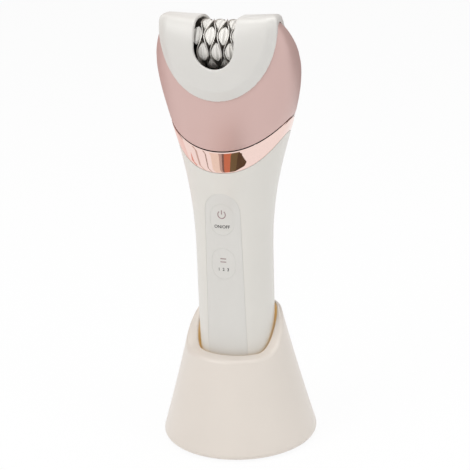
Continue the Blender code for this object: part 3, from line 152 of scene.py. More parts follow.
class Finish(NodeTree):
    """A material with one Principled shader, and short ways to feed it."""

    def __init__(self, name):
        self.material = bpy.data.materials.new(name)
        super().__init__(self.material)
        self.shader = self.tree.nodes["Principled BSDF"]

    def set(self, **sockets):
        self.feed(self.shader, {key.replace("_", " "): value for key, value in sockets.items()})

    def noise(self, scale, detail):
        place = self.node("ShaderNodeTexCoord", {}, {}, "Object")
        sockets = {"Vector": place, "Scale": scale, "Detail": detail}
        return self.node("ShaderNodeTexNoise", {}, sockets)

    def shades(self, share, first, second):
        sockets = {0: share, MIX_FIRST_COLOUR: (*first, 1.0), MIX_SECOND_COLOUR: (*second, 1.0)}
        return self.node("ShaderNodeMix", {"data_type": "RGBA"}, sockets, MIX_COLOUR_OUT)

    def bump(self, height, strength, distance):
        sockets = {"Height": height, "Strength": strength, "Distance": distance}
        self.set(Normal=self.node("ShaderNodeBump", {}, sockets))


def tinted(colour, factor):
    return tuple(channel * factor for channel in colour)


def paint(piece, *materials):
    piece.data.materials.clear()
    for material in materials:
        piece.data.materials.append(material)


print("feeds of a finish: set, noise, shades, bump")

# %% [markdown]
# ## Plastics
#
# The handle, the cap and the stand are moulded plastic with a satin skin. On the real thing the
# colour drifts a little and the skin has a grain too fine to see as bumps, which only softens the
# gloss. Two noises do that: a wide one for the colour and a fine one for roughness and bump.

# %% Plastic finishes
CLOUD_SCALE = 55.0
CLOUD_DETAIL = 3.0
COLOUR_DRIFT = 0.025
SKIN_GRAIN = 9000.0
RUBBER_GRAIN = 5000.0
GRAIN_DETAIL = 2.0
GRAIN_STRENGTH = 0.06
GRAIN_HEIGHT = 0.00004
ROUGHNESS_SPREAD = 0.1
COAT_ROUGHNESS = 0.25


def plastic(name, colour, roughness, grain=SKIN_GRAIN, coat=0.0):
    finish = Finish(name)
    cloud = finish.noise(CLOUD_SCALE, CLOUD_DETAIL)
    fine = finish.noise(grain, GRAIN_DETAIL)
    dark = tinted(colour, 1.0 - COLOUR_DRIFT)
    light = tinted(colour, 1.0 + COLOUR_DRIFT)
    finish.set(
        Base_Color=finish.shades(cloud, dark, light),
        Roughness=roughness - ROUGHNESS_SPREAD / 2 + ROUGHNESS_SPREAD * fine,
        Coat_Weight=coat,
        Coat_Roughness=COAT_ROUGHNESS)
    finish.bump(fine, GRAIN_STRENGTH, GRAIN_HEIGHT)
    return finish.material


# Each plastic has a colour and a roughness, and the rubber a coarser grain.
PLASTICS = {
    "stand_plastic": ((0.757, 0.690, 0.624), 0.30),
    "handle_plastic": ((0.75, 0.722, 0.672), 0.36),
    "cover_plastic": ((0.705, 0.685, 0.648), 0.33),
    "key_plastic": ((0.705, 0.685, 0.648), 0.36),
    "cap_plastic": ((0.715, 0.695, 0.660), 0.34),
    "pad_plastic": ((0.90, 0.88, 0.84), 0.26),
    "gear_plastic": ((0.80, 0.79, 0.75), 0.45),
    # The frame's near black is partly its own colour and partly painted shade inside the head.
    "frame_plastic": ((0.055, 0.042, 0.034), 0.42),
    "inner_plastic": ((0.070, 0.055, 0.048), 0.50),
    "switch_black": ((0.02, 0.02, 0.02), 0.45),
    "cell_wrap": ((0.05, 0.20, 0.12), 0.30),
    "foot_rubber": ((0.10, 0.10, 0.10), 0.75, RUBBER_GRAIN),
}
FINISHES = {name: plastic(name, *look) for name, look in PLASTICS.items()}
# The hub's dark brown is partly its own colour and partly painted shade of the narrow gaps between
# the discs.
HUB_COLOUR_AND_SHADE = plastic("hub_colour_and_shade", (0.12, 0.085, 0.062), 0.40)
INK_GREY = plastic("ink_grey", (0.035, 0.033, 0.035), 0.5)
INK_ROSE = plastic("ink_rose", (0.36, 0.25, 0.25), 0.45)


def painted_well_glow():
    """Painted glow for light that comes through the stand's wall: a warm colour with a faint light
    of its own.
    """
    finish = Finish("well_painted_glow")
    finish.set(
        Base_Color=(0.78, 0.66, 0.50, 1.0),
        Roughness=0.45,
        Emission_Color=(0.62, 0.38, 0.12, 1.0),
        Emission_Strength=0.32)
    return finish.material


WELL_PAINTED_GLOW = painted_well_glow()
print("plastic finishes:", len(FINISHES))

# %% [markdown]
# ## Metals and paint
#
# The ring is plated plastic: a mirror with a rose tint. The head is painted in a satin rose with
# fine flakes, so it is part metal and its gloss is broad. The steel of the discs is bright and a
# little brushed, and the boards are green lacquer.

# %% Rose paint
ROSE = (0.665, 0.463, 0.428)
ROSE_DRIFT = 0.05
ROSE_CLOUD_SCALE = 40.0
ROSE_CLOUD_DETAIL = 2.0
FLAKE_SCALE = 14000.0
FLAKE_DETAIL = 1.0
FLAKE_STRENGTH = 0.10
FLAKE_HEIGHT = 0.00003


def rose_paint():
    finish = Finish("housing_paint")
    cloud = finish.noise(ROSE_CLOUD_SCALE, ROSE_CLOUD_DETAIL)
    flake = finish.noise(FLAKE_SCALE, FLAKE_DETAIL)
    dark = tinted(ROSE, 1.0 - ROSE_DRIFT)
    light = tinted(ROSE, 1.0 + ROSE_DRIFT)
    finish.set(
        Base_Color=finish.shades(cloud * 0.5 + flake * 0.5, dark, light),
        Roughness=0.36 + 0.10 * flake,
        Metallic=0.36,
        Coat_Weight=0.15,
        Coat_Roughness=0.30)
    finish.bump(flake, FLAKE_STRENGTH, FLAKE_HEIGHT)
    return finish.material


FINISHES["housing_paint"] = rose_paint()
print("rose paint:", ROSE)

# %% Metal finishes
METAL_GRAIN = 900.0
METAL_DETAIL = 3.0
METAL_DARK = 0.96
METAL_LIGHT = 1.02
BRUSHED = 0.08
PLATED = 0.03
LACQUER_COAT = 0.3


def metal(name, colour, roughness, streaks=BRUSHED):
    finish = Finish(name)
    fine = finish.noise(METAL_GRAIN, METAL_DETAIL)
    finish.set(
        Base_Color=finish.shades(fine, tinted(colour, METAL_DARK), tinted(colour, METAL_LIGHT)),
        Roughness=roughness + streaks * fine,
        Metallic=1.0)
    return finish.material


# Each metal has a colour and a roughness, and the plated ring finer streaks.
METALS = {
    "ring_chrome": ((0.89, 0.68, 0.62), 0.03, PLATED),
    "disc_steel": ((0.72, 0.70, 0.67), 0.28),
    "shaft_steel": ((0.60, 0.60, 0.61), 0.22),
    "motor_steel": ((0.52, 0.52, 0.54), 0.30),
    "contact_brass": ((0.86, 0.66, 0.32), 0.16),
}
for name, look in METALS.items():
    FINISHES[name] = metal(name, *look)
FINISHES["board_green"] = plastic("board_green", (0.02, 0.15, 0.07), 0.35, coat=LACQUER_COAT)

for entry in frame["record"]["subparts"]:
    paint(frame["nodes"][entry["node"]], FINISHES[entry["material_slot"]])
print("finishes:", sorted(FINISHES))

# %% [markdown]
# ## Tools of the bench
#
# Most pieces here are skins whose section changes with height, so no single primitive has their
# shape. A flat grid is added, each corner is put in its place by a formula of its column and row,
# and the seam is merged. Modifiers then give the skin its wall and cut its openings.

# %% Small sums
def clamp(share):
    return min(max(share, 0.0), 1.0)


def smoothstep(share):
    share = clamp(share)
    return share * share * (3.0 - 2.0 * share)


def mix(first, second, share):
    return first + (second - first) * share


def arc(centre, radius, start, end, steps):
    points = []
    for step in range(steps + 1):
        turn = mix(start, end, step / steps)
        points.append((centre[0] + radius * math.cos(turn), centre[1] + radius * math.sin(turn)))
    return points


print("a quarter of the way, smoothed:", smoothstep(0.25))

# %% Adding and editing
MERGE = 0.000002


def only(piece):
    bpy.ops.object.select_all(action="DESELECT")
    piece.select_set(True)
    bpy.context.view_layer.objects.active = piece


@contextmanager
def editing(piece):
    """Edit mode with all of one piece selected."""
    only(piece)
    bpy.ops.object.mode_set(mode="EDIT")
    bpy.ops.mesh.select_all(action="SELECT")
    yield
    bpy.ops.object.mode_set(mode="OBJECT")


def added(name, operator, **settings):
    """Adds an object with nothing else selected, and names it."""
    bpy.ops.object.select_all(action="DESELECT")
    operator(**settings)
    piece = bpy.context.object
    piece.name = name
    return piece


def tidy_mesh(piece):
    with editing(piece):
        bpy.ops.mesh.remove_doubles(threshold=MERGE)
        bpy.ops.mesh.normals_make_consistent(inside=False)


def face_out(piece):
    """Turns the faces of an open skin away from the upright axis, if they point at it."""
    lean = 0.0
    for face in piece.data.polygons:
        lean += face.area * face.normal.dot(Vector((face.center.x, face.center.y, 0.0)))
    if lean < 0.0:
        with editing(piece):
            bpy.ops.mesh.flip_normals()


print("corners closer than", MERGE, "m are merged")

# %% Grids and outlines
def rolled(name, columns, rows, place):
    """A grid from -1 to 1, whose corners are put in place by a formula of column and row."""
    piece = added(
        name, bpy.ops.mesh.primitive_grid_add,
        x_subdivisions=columns, y_subdivisions=rows, size=2.0)
    for corner in piece.data.vertices:
        column = round((corner.co.x + 1.0) / 2.0 * columns)
        row = round((corner.co.y + 1.0) / 2.0 * rows)
        corner.co = place(column, row)
    tidy_mesh(piece)
    return piece


def polygon(name, points):
    """One flat face through points."""
    piece = added(
        name, bpy.ops.mesh.primitive_circle_add,
        vertices=len(points), fill_type="NGON")
    for corner, point in zip(piece.data.vertices, points):
        corner.co = point
    return piece


def prism(name, outline, front, back):
    """A flat outline of x and z, extruded from front to back."""
    piece = polygon(name, [(x, front, z) for x, z in outline])
    shift = {"value": (0.0, back - front, 0.0)}
    with editing(piece):
        bpy.ops.mesh.extrude_region_move(TRANSFORM_OT_translate=shift)
    tidy_mesh(piece)
    return piece


print("shapes start as a grid or as an outline")

# %% Modifiers and settling
SMOOTH_ANGLE = 35.0


def modify(piece, kind, **settings):
    modifier = piece.modifiers.new(kind, kind)
    for key, value in settings.items():
        setattr(modifier, key, value)
    only(piece)
    bpy.ops.object.modifier_apply(modifier=modifier.name)


def thicken(piece, wall):
    """Gives an open skin a wall on its inner side."""
    face_out(piece)
    modify(piece, "SOLIDIFY", thickness=wall, offset=-1.0)


def carve(piece, tool, operation="DIFFERENCE"):
    modify(piece, "BOOLEAN", object=tool, operation=operation, solver="EXACT")
    bpy.data.objects.remove(tool, do_unlink=True)


def settle(piece, body, finish, *nodes, angle=SMOOTH_ANGLE):
    """Gives a piece its shading, finish, body and the nodes it stands for."""
    only(piece)
    bpy.ops.object.transform_apply(location=True, rotation=True, scale=True)
    bpy.ops.object.shade_smooth_by_angle(angle=math.radians(angle))
    if not piece.data.materials:
        piece.data.materials.append(FINISHES[finish])
    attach(piece, body)
    if nodes:
        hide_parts(*nodes)
    print(piece.name, "on", body, len(piece.data.polygons), "faces")


print("edges under", SMOOTH_ANGLE, "degrees are shaded smooth")

# %% [markdown]
# ## The body's skin
#
# Handle, ring and head share one flowing skin: nearly round at the grip, wide at the head, with
# a nape behind and a rounded top. One formula gives a point of it from an angle and a height,
# so every piece that lies on it meets its neighbours. The seams rise towards the sides in an arc.

# %% Skin formula
FOOT_Z = 0.0110
FOOT_HALF_WIDTH = 0.0152
FOOT_HALF_DEPTH = 0.0146
FOOT_ROUNDING = 0.0024
FOOT_POWER = 2.5
WAIST_Z = 0.0780
WAIST_HALF_WIDTH = 0.0164
WAIST_HALF_DEPTH = 0.0158
NAPE_Z = 0.1430
NAPE_DEPTH = 0.0228
HEAD_Z = 0.1670
HEAD_HALF_WIDTH = 0.0302
HEAD_FRONT_DEPTH = 0.0180
HEAD_TOP_Z = 0.1858
CROWN_BACK_DEPTH = 0.0023
HANDLE_POWER = 2.15
HEAD_POWER = 2.5
SHOULDER_SKEW = 1.46
DOME_POWER = 3.5
EAR_FALL = 0.20
EAR_POWER = 14
AROUND = 144


def turn_at(column, columns):
    return 2 * math.pi * column / columns


def back_depth(z):
    if z > NAPE_Z:
        return mix(NAPE_DEPTH, CROWN_BACK_DEPTH, ((z - NAPE_Z) / (HEAD_TOP_Z - NAPE_Z)) ** 2)
    rise = clamp((z - WAIST_Z) / (NAPE_Z - WAIST_Z))
    return mix(WAIST_HALF_DEPTH, NAPE_DEPTH, smoothstep(rise ** SHOULDER_SKEW))


def section(z):
    """Half width, front depth, back depth and corner power at a height."""
    if z < WAIST_Z:
        share = ((WAIST_Z - z) / (WAIST_Z - FOOT_Z)) ** FOOT_POWER
        depth = mix(WAIST_HALF_DEPTH, FOOT_HALF_DEPTH, share)
        return mix(WAIST_HALF_WIDTH, FOOT_HALF_WIDTH, share), depth, depth, HANDLE_POWER
    rise = min((z - WAIST_Z) / (HEAD_Z - WAIST_Z), 1.0)
    share = smoothstep(rise ** SHOULDER_SKEW)
    width = mix(WAIST_HALF_WIDTH, HEAD_HALF_WIDTH, share)
    front = mix(WAIST_HALF_DEPTH, HEAD_FRONT_DEPTH, share)
    return width, front, back_depth(z), mix(HANDLE_POWER, HEAD_POWER, share)


def oval(angle, half_width, middle, half_depth, power, z):
    sine = math.sin(angle)
    cosine = math.cos(angle)
    x = math.copysign(abs(sine) ** (2 / power), sine) * half_width
    y = middle - math.copysign(abs(cosine) ** (2 / power), cosine) * half_depth
    return Vector((x, y, z))


def skin(angle, z, inset=0.0):
    """Point of the skin, or of one inset from it, at an angle from the front."""
    width, front, back, power = section(z)
    rise = clamp((z - HEAD_Z) / (HEAD_TOP_Z - inset - HEAD_Z))
    depth_left = (1.0 - rise ** DOME_POWER) ** (1 / DOME_POWER)
    width_left = (1.0 - EAR_FALL * rise ** 2) * (1.0 - rise ** EAR_POWER) ** (1 / EAR_POWER)
    half_depth = ((front + back) / 2 - inset) * depth_left
    return oval(angle, (width - inset) * width_left, (back - front) / 2, half_depth, power, z)


print("skin at the grip:", round(section(WAIST_Z)[0] * 2000, 1), "mm wide")

# %% Places on the skin
SMILE_RADIUS = 0.0350
SEAM_Z = 0.1325
SEAM_TRIES = 24
RING_FOOT_Z = 0.1233
RING_TAPER = 0.0084
TAPER_POWER = 3


def smile(x, taper):
    """Rise of a seam at a place across the body; a taper lifts its ends further."""
    bow = SMILE_RADIUS - math.sqrt(SMILE_RADIUS ** 2 - x * x)
    return bow + taper * abs(x / HEAD_HALF_WIDTH) ** TAPER_POWER


def seam_point(angle, level, inset, share, taper=0.0):
    """Point of the skin on a seam whose lowest point is at a level."""
    z = level
    for _ in range(SEAM_TRIES):
        z = level + share * smile(skin(angle, z, inset).x, taper)
    return skin(angle, z, inset)


def front_y(x, z, inset):
    width, front, back, power = section(z)
    share = min(abs(x) / (width - inset), 1.0) ** power
    return (back - front) / 2 - ((front + back) / 2 - inset) * (1.0 - share) ** (1 / power)


def angle_at(x, z):
    width, _, _, power = section(z)
    return math.asin(min(x / width, 1.0) ** (power / 2))


print("the seam's ends rise", round(smile(HEAD_HALF_WIDTH, 0.0) * 1000, 1), "mm")

# %% [markdown]
# ## Handle
#
# The handle is one shell with an arched window in front for the control strip. Its grid starts
# and ends along the window's edge, so the opening needs no cutting: the two edges close above the
# arch. The rows follow the arch as a circle does, and then bend into the ring's seam.

# %% Handle shell
CAP_SEAM_Z = 0.0172
PANEL_TOP_Z = 0.1145
PANEL_TOP_HALF_WIDTH = 0.00775
PANEL_FOOT_HALF_WIDTH = 0.0096
ARCH_Z = PANEL_TOP_Z - PANEL_TOP_HALF_WIDTH
STRAIGHT_STEPS = 24
ARCH_STEPS = 14
SMILE_STEPS = 10
HAIRLINE = 0.00007
SHELL_WALL = 0.0012


def window_half_width(z):
    if z >= PANEL_TOP_Z:
        return 0.0
    if z > ARCH_Z:
        return math.sqrt(PANEL_TOP_HALF_WIDTH ** 2 - (z - ARCH_Z) ** 2)
    return mix(PANEL_FOOT_HALF_WIDTH, PANEL_TOP_HALF_WIDTH, z / ARCH_Z)


panel_arch = arc((0.0, ARCH_Z), PANEL_TOP_HALF_WIDTH, 0.0, math.pi / 2, ARCH_STEPS)
panel_heights = [mix(CAP_SEAM_Z, ARCH_Z, step / STRAIGHT_STEPS) for step in range(STRAIGHT_STEPS)]
panel_heights += [z for _, z in panel_arch]
handle_top = RING_FOOT_Z - HAIRLINE


def handle_point(column, row):
    if row < len(panel_heights):
        z = panel_heights[row]
        start = angle_at(window_half_width(z), z)
        return skin(mix(start, 2 * math.pi - start, column / AROUND), z)
    share = (row - len(panel_heights) + 1) / SMILE_STEPS
    level = mix(PANEL_TOP_Z, handle_top, share)
    return seam_point(turn_at(column, AROUND), level, 0.0, smoothstep(share), RING_TAPER)


handle_rows = len(panel_heights) + SMILE_STEPS - 1
handle_shell = rolled("handle_shell", AROUND, handle_rows, handle_point)
thicken(handle_shell, SHELL_WALL)
settle(handle_shell, "handle", "handle_plastic", "handle_body")

# %% [markdown]
# ## Control strip
#
# The strip fills the window and follows the same skin, so only a hairline shows between the two.
# The two keys sit in stadium-shaped holes. The holes are cut with a Boolean, because their
# outline is a plain shape that the grid need not follow.

# %% Strip with its key holes
KEY_HALF_WIDTH = 0.0052
KEY_HALF_HEIGHT = 0.0068
KEY_HEIGHTS = {"power": 0.1030, "level": 0.0835}
KEY_LINE = 0.00003
KEY_HOLE_BACK_Y = -0.004
STRIP_COLUMNS = 48
STRIP_INSET = 0.00006
CUT_FRONT_Y = -0.03
CUT_BACK_Y = 0.03


def key_outline(gap, z, steps=20):
    side = KEY_HALF_WIDTH + gap
    straight = KEY_HALF_HEIGHT - KEY_HALF_WIDTH
    upper = arc((0.0, z + straight), side, 0.0, math.pi, steps)
    return upper + arc((0.0, z - straight), side, math.pi, 2 * math.pi, steps)


def strip_point(column, row):
    z = panel_heights[row]
    reach = max(window_half_width(z) - HAIRLINE, 0.0)
    x = mix(-reach, reach, column / STRIP_COLUMNS)
    return Vector((x, front_y(x, z, STRIP_INSET), z))


control_strip = rolled("control_strip", STRIP_COLUMNS, len(panel_heights) - 1, strip_point)
thicken(control_strip, SHELL_WALL)
for name, z in KEY_HEIGHTS.items():
    hole = key_outline(KEY_LINE, z)
    carve(control_strip, prism(name + "_hole", hole, CUT_FRONT_Y, KEY_HOLE_BACK_Y))
settle(control_strip, "handle", "cover_plastic", "front_cover")

# %% [markdown]
# ## Keys
#
# A key is a stadium of rings that lie on the same skin, with a small round and a side wall. A
# plain block would be flat on top, but a key follows the curve of the strip around it.

# %% Keys
KEY_RINGS = 10
KEY_OUTLINE_STEPS = 24
KEY_TOP_SHARE = 0.995
KEY_EDGE_SHARE = 0.999
KEY_ROUND = KEY_LINE * 3
KEY_DEPTH = 0.0014


def make_key(name, key_z):
    """A key: rings from its middle to its edge, a small round and a side wall."""
    outline = key_outline(0.0, 0.0, KEY_OUTLINE_STEPS)
    columns = len(outline)
    sides = ((KEY_EDGE_SHARE, KEY_LINE), (1.0, KEY_ROUND), (1.0, KEY_DEPTH), (0.0, KEY_DEPTH))

    def place(column, row):
        x, rise = outline[column % columns]
        share = row / KEY_RINGS * KEY_TOP_SHARE
        drop = 0.0
        if row > KEY_RINGS:
            share, drop = sides[row - KEY_RINGS - 1]
        z = key_z + rise * share
        return Vector((x * share, front_y(x * share, z, STRIP_INSET) + drop, z))

    key = rolled(name + "_key", columns, KEY_RINGS + len(sides), place)
    settle(key, name + "_key", "key_plastic", name + "_button")


for name, z in KEY_HEIGHTS.items():
    make_key(name, z)

# %% [markdown]
# ## Printed marks
#
# The keys carry thin prints: a power sign with ON and OFF, and two bars with plain numbers. Each
# mark is a flat ribbon or a text turned into a mesh, and is laid on the skin by the skin's own
# formula, a hair in front of it.

# %% Tools for marks
PRINT_LIFT = 0.00003
PRINT_CUTS = 2
WORD_HEIGHT = 0.00132
WORD_WEIGHT = 0.00003
CAPITAL_SHARE = 0.70


def lay_on_skin(piece, z, body, ink):
    """Puts a flat shape, drawn in x and y, on the front of the handle around a height."""
    only(piece)
    bpy.ops.object.convert(target="MESH")
    bpy.ops.object.transform_apply(location=True, rotation=True, scale=True)
    with editing(piece):
        bpy.ops.mesh.remove_doubles(threshold=MERGE)
        bpy.ops.mesh.subdivide(number_cuts=PRINT_CUTS)
    for corner in piece.data.vertices:
        x, up, _ = corner.co
        corner.co = (x, front_y(x, z + up, STRIP_INSET) - PRINT_LIFT, z + up)
    face_out(piece)
    paint(piece, ink)
    settle(piece, body, "key_plastic")


def stroke(name, points, width):
    """A line of even width through points, as a ribbon of quads."""
    rows = len(points) - 1

    def place(column, row):
        here = Vector(points[row])
        before = Vector(points[max(row - 1, 0)])
        after = Vector(points[min(row + 1, rows)])
        along = (after - before).normalized()
        across = Vector((-along.y, along.x)) * (column - 0.5) * width
        return Vector((here.x + across.x, here.y + across.y, 0.0))

    return rolled(name, 1, rows, place)


def word(name, text):
    piece = added(name, bpy.ops.object.text_add)
    piece.data.body = text
    piece.data.size = WORD_HEIGHT / CAPITAL_SHARE
    piece.data.offset = WORD_WEIGHT
    piece.data.align_x = "CENTER"
    piece.data.align_y = "CENTER"
    return piece


print("letters are", WORD_HEIGHT * 1000, "mm high")

# %% Marks on the keys
SIGN_Z = 0.1053
SIGN_RADIUS = 0.00165
SIGN_LINE = 0.00042
SIGN_GAP = math.radians(38)
SIGN_STEPS = 40
SIGN_BAR_SHARES = (0.05, 0.4, 0.8, 1.18)
WORD_Z = 0.09995
BARS_Z = 0.0851
BAR_LENGTH = 0.0026
BAR_STEP = 0.0014
BAR_SHARES = (-0.5, -0.2, 0.2, 0.5)
NUMBER_Z = 0.08100

sign_start = math.pi / 2 + SIGN_GAP
sign_end = math.pi * 2.5 - SIGN_GAP
sign_arc = arc((0.0, 0.0), SIGN_RADIUS, sign_start, sign_end, SIGN_STEPS)
lay_on_skin(stroke("power_sign_arc", sign_arc, SIGN_LINE), SIGN_Z, "power_key", INK_ROSE)
sign_bar = [(0.0, SIGN_RADIUS * share) for share in SIGN_BAR_SHARES]
lay_on_skin(stroke("power_sign_bar", sign_bar, SIGN_LINE), SIGN_Z, "power_key", INK_ROSE)
lay_on_skin(word("power_word", "ON/OFF"), WORD_Z, "power_key", INK_GREY)
for number, side in ((1, 1), (2, -1)):
    bar = [(BAR_LENGTH * share, side * BAR_STEP / 2) for share in BAR_SHARES]
    lay_on_skin(stroke(f"level_bar_{number}", bar, SIGN_LINE), BARS_Z, "level_key", INK_ROSE)
lay_on_skin(word("level_numbers", "1  2  3"), NUMBER_Z, "level_key", INK_GREY)

# %% [markdown]
# ## Bottom cap and ring
#
# The foot of the handle is a shallow cup with a rounded edge, hidden in the stand. The ring is a
# band between two seams. Its face swells a little and its edges are rounded, which is what bends
# the reflections on a plated part.

# %% Bottom cap
CUP_STEPS = 8
cup_low = FOOT_Z + FOOT_ROUNDING
cup_top = CAP_SEAM_Z - HAIRLINE


def cup_point(column, row):
    angle = turn_at(column, AROUND)
    if row == 0:
        return Vector((0.0, 0.0, FOOT_Z))
    if row <= CUP_STEPS:
        turn = math.pi / 2 * (row - 1) / (CUP_STEPS - 1)
        inset = FOOT_ROUNDING * (1 - math.sin(turn))
        return skin(angle, cup_low - FOOT_ROUNDING * math.cos(turn), inset)
    if row == CUP_STEPS + 1:
        return skin(angle, cup_top)
    return Vector((0.0, 0.0, cup_top))


bottom_cup = rolled("bottom_cup", AROUND, CUP_STEPS + 2, cup_point)
settle(bottom_cup, "handle", "handle_plastic", "bottom_cap")

# %% Ring
EDGE_ROUND = 0.00025
RING_EDGE_SHARE = 0.6
RING_SWELL = 0.00012
RING_STEPS = 12
RING_WALL = 0.0012
RING_SMOOTH_ANGLE = 50.0
SEAM_GAP = 0.00052
ring_low = RING_FOOT_Z + HAIRLINE
ring_high = SEAM_Z - SEAM_GAP / 2


def ring_point(column, row):
    share = row / RING_STEPS
    edge = min(share, 1 - share) * (ring_high - ring_low)
    inset = -RING_SWELL * 4 * share * (1 - share)
    if edge < EDGE_ROUND:
        inset += EDGE_ROUND * RING_EDGE_SHARE
    level = mix(ring_low, ring_high, share)
    return seam_point(turn_at(column, AROUND), level, inset, 1.0, RING_TAPER * (1 - share))


trim_band = rolled("trim_band", AROUND, RING_STEPS, ring_point)
thicken(trim_band, RING_WALL)
settle(trim_band, "handle", "ring_chrome", "trim_ring", angle=RING_SMOOTH_ANGLE)

# %% [markdown]
# ## Head housing
#
# The rose shell runs from the ring to the rounded top. Its rows lean from the seam's arc to level
# rings, and close up over the top as a dome. Under the skin cap it is cut away in a wide channel,
# where the drum and its frame stand.

# %% Housing
CHANNEL_HALF_WIDTH = 0.0205
CHANNEL_ARC_Z = 0.1780
HOUSING_WALL = 0.0016
HOUSING_EDGE_SHARE = 0.7
HOUSING_ROWS = 26
DOME_ROWS = 20
LEVELLING = 1.02
ABOVE_ALL_Z = 0.195
BOWL_STEPS = 40


def dome_height(share, top):
    """Heights that step evenly round the dome, close together near its top."""
    return mix(HEAD_Z, top, math.sin(math.pi / 2 * share) ** (2 / DOME_POWER))


def housing_point(column, row):
    angle = turn_at(column, AROUND)
    if row <= HOUSING_ROWS:
        share = row / HOUSING_ROWS
        level = mix(SEAM_Z + SEAM_GAP / 2, HEAD_Z, share)
        inset = EDGE_ROUND * HOUSING_EDGE_SHARE if row == 0 else 0.0
        return seam_point(angle, level, inset, 1 - smoothstep(share * LEVELLING))
    share = (row - HOUSING_ROWS) / DOME_ROWS
    return skin(angle, dome_height(share, HEAD_TOP_Z))


def u_outline(half_width, centre_z):
    bowl = arc((0.0, centre_z), half_width, -math.pi, 0.0, BOWL_STEPS)
    return [(-half_width, ABOVE_ALL_Z)] + bowl + [(half_width, ABOVE_ALL_Z)]


rose_housing = rolled("rose_housing", AROUND, HOUSING_ROWS + DOME_ROWS, housing_point)
thicken(rose_housing, HOUSING_WALL)
channel = u_outline(CHANNEL_HALF_WIDTH, CHANNEL_ARC_Z)
carve(rose_housing, prism("channel_tool", channel, CUT_FRONT_Y, CUT_BACK_Y))
settle(rose_housing, "head", "housing_paint", "head_housing")

# %% [markdown]
# ## Skin cap
#
# The pale cap straddles the head: a U in front and behind, with a broad sloping border, a dished
# top and a slot for the drum. It is cut from a skin that stands proud of the head, and thinner
# along the border. The cuts leave hard edges, so the result is remeshed finely and smoothed,
# which rounds every edge at once as a mould does.

# %% Cap outline
CAP_TOP_Z = 0.1872
CAP_CORNER_RISE = 0.0012
CAP_HALF_WIDTH = 0.0256
CAP_TAPER = 0.100
CAP_BOW = 0.0292
CAP_BOW_STEPS = 60
CAP_CORNER = 0.0024
CAP_CORNER_STEPS = 12
CAP_ARC_Z = 0.1830
CAP_LEAST_SHARE = 0.01


def inside_cap(x, z):
    """How far a point of the front view lies inside the cap's outline."""
    if z >= CAP_ARC_Z:
        return CAP_HALF_WIDTH - abs(x)
    drop = z - CAP_ARC_Z
    share = max(math.hypot(x / CAP_HALF_WIDTH, drop / CAP_BOW), CAP_LEAST_SHARE)
    slope = math.hypot(x / CAP_HALF_WIDTH ** 2, drop / CAP_BOW ** 2) / share
    return (1.0 - share) / slope


def cap_share(y):
    """Share of the cap's width that is left at a depth, as it narrows towards the back."""
    return 1.0 - CAP_TAPER * (y + HEAD_FRONT_DEPTH) / CAP_HALF_WIDTH


def cap_outline():
    """The cap seen from the front: half an ellipse below, rounded corners above."""
    bow = arc((0.0, 0.0), 1.0, -math.pi, 0.0, CAP_BOW_STEPS)
    points = [(CAP_HALF_WIDTH * across, CAP_ARC_Z + CAP_BOW * up) for across, up in bow]
    corner_x = CAP_HALF_WIDTH - CAP_CORNER
    corner_z = CAP_TOP_Z + CAP_CORNER_RISE - CAP_CORNER
    points += arc((corner_x, corner_z), CAP_CORNER, 0.0, math.pi / 2, CAP_CORNER_STEPS)
    return points + arc((-corner_x, corner_z), CAP_CORNER, math.pi / 2, math.pi, CAP_CORNER_STEPS)


print("cap outline:", len(cap_outline()), "points")

# %% Cap
CAP_PROUD = 0.0022
CAP_BORDER_PROUD = 0.0006
CAP_BORDER = 0.0042
CAP_FOOT_Z = 0.1500
HOLLOW_FOOT_Z = CAP_FOOT_Z - 0.005
CAP_CLEARANCE = 0.0003
SLOT_HALF_WIDTH = 0.0086
SLOT_ARC_Z = 0.1758
SLOT_BACK_Y = 0.0050
CAP_ROWS = 24
CAP_DOME_ROWS = 30
CAP_VOXEL = 0.00030
CAP_SMOOTHING = 0.5
CAP_SMOOTH_ROUNDS = 9
CAP_SMOOTH_ANGLE = 60.0


def cap_height(row, foot, top):
    """Height of a row: straight up to the head's widest place, and then round the dome."""
    if row <= CAP_ROWS:
        return mix(foot, HEAD_Z, (row - 1) / (CAP_ROWS - 1))
    return dome_height((row - CAP_ROWS) / CAP_DOME_ROWS, top)


def cap_skin(angle, z, proud):
    width, front, _, power = section(min(z, HEAD_Z))
    back = back_depth(z)
    rise = clamp((z - HEAD_Z) / (CAP_TOP_Z - HEAD_Z))
    left = max(1.0 - rise ** DOME_POWER, 0.0) ** (1 / DOME_POWER)
    half_depth = ((front + back) / 2 + proud) * left
    point = oval(angle, width + proud, (back - front) / 2, half_depth, power, z)
    point.z += CAP_CORNER_RISE * (point.x / CAP_HALF_WIDTH) ** 2 * rise
    return point


def cap_point(column, row):
    if row == 0:
        return Vector((0.0, 0.0, CAP_FOOT_Z))
    angle = turn_at(column, AROUND)
    z = cap_height(row, CAP_FOOT_Z, CAP_TOP_Z)
    outer = cap_skin(angle, z, CAP_PROUD)
    share = clamp(inside_cap(outer.x / cap_share(outer.y), outer.z) / CAP_BORDER)
    return cap_skin(angle, z, mix(CAP_BORDER_PROUD, CAP_PROUD, share))


def hollow_point(column, row):
    if row == 0:
        return Vector((0.0, 0.0, HOLLOW_FOOT_Z))
    z = cap_height(row, HOLLOW_FOOT_Z, HEAD_TOP_Z + CAP_CLEARANCE)
    return skin(turn_at(column, AROUND), z, -CAP_CLEARANCE)


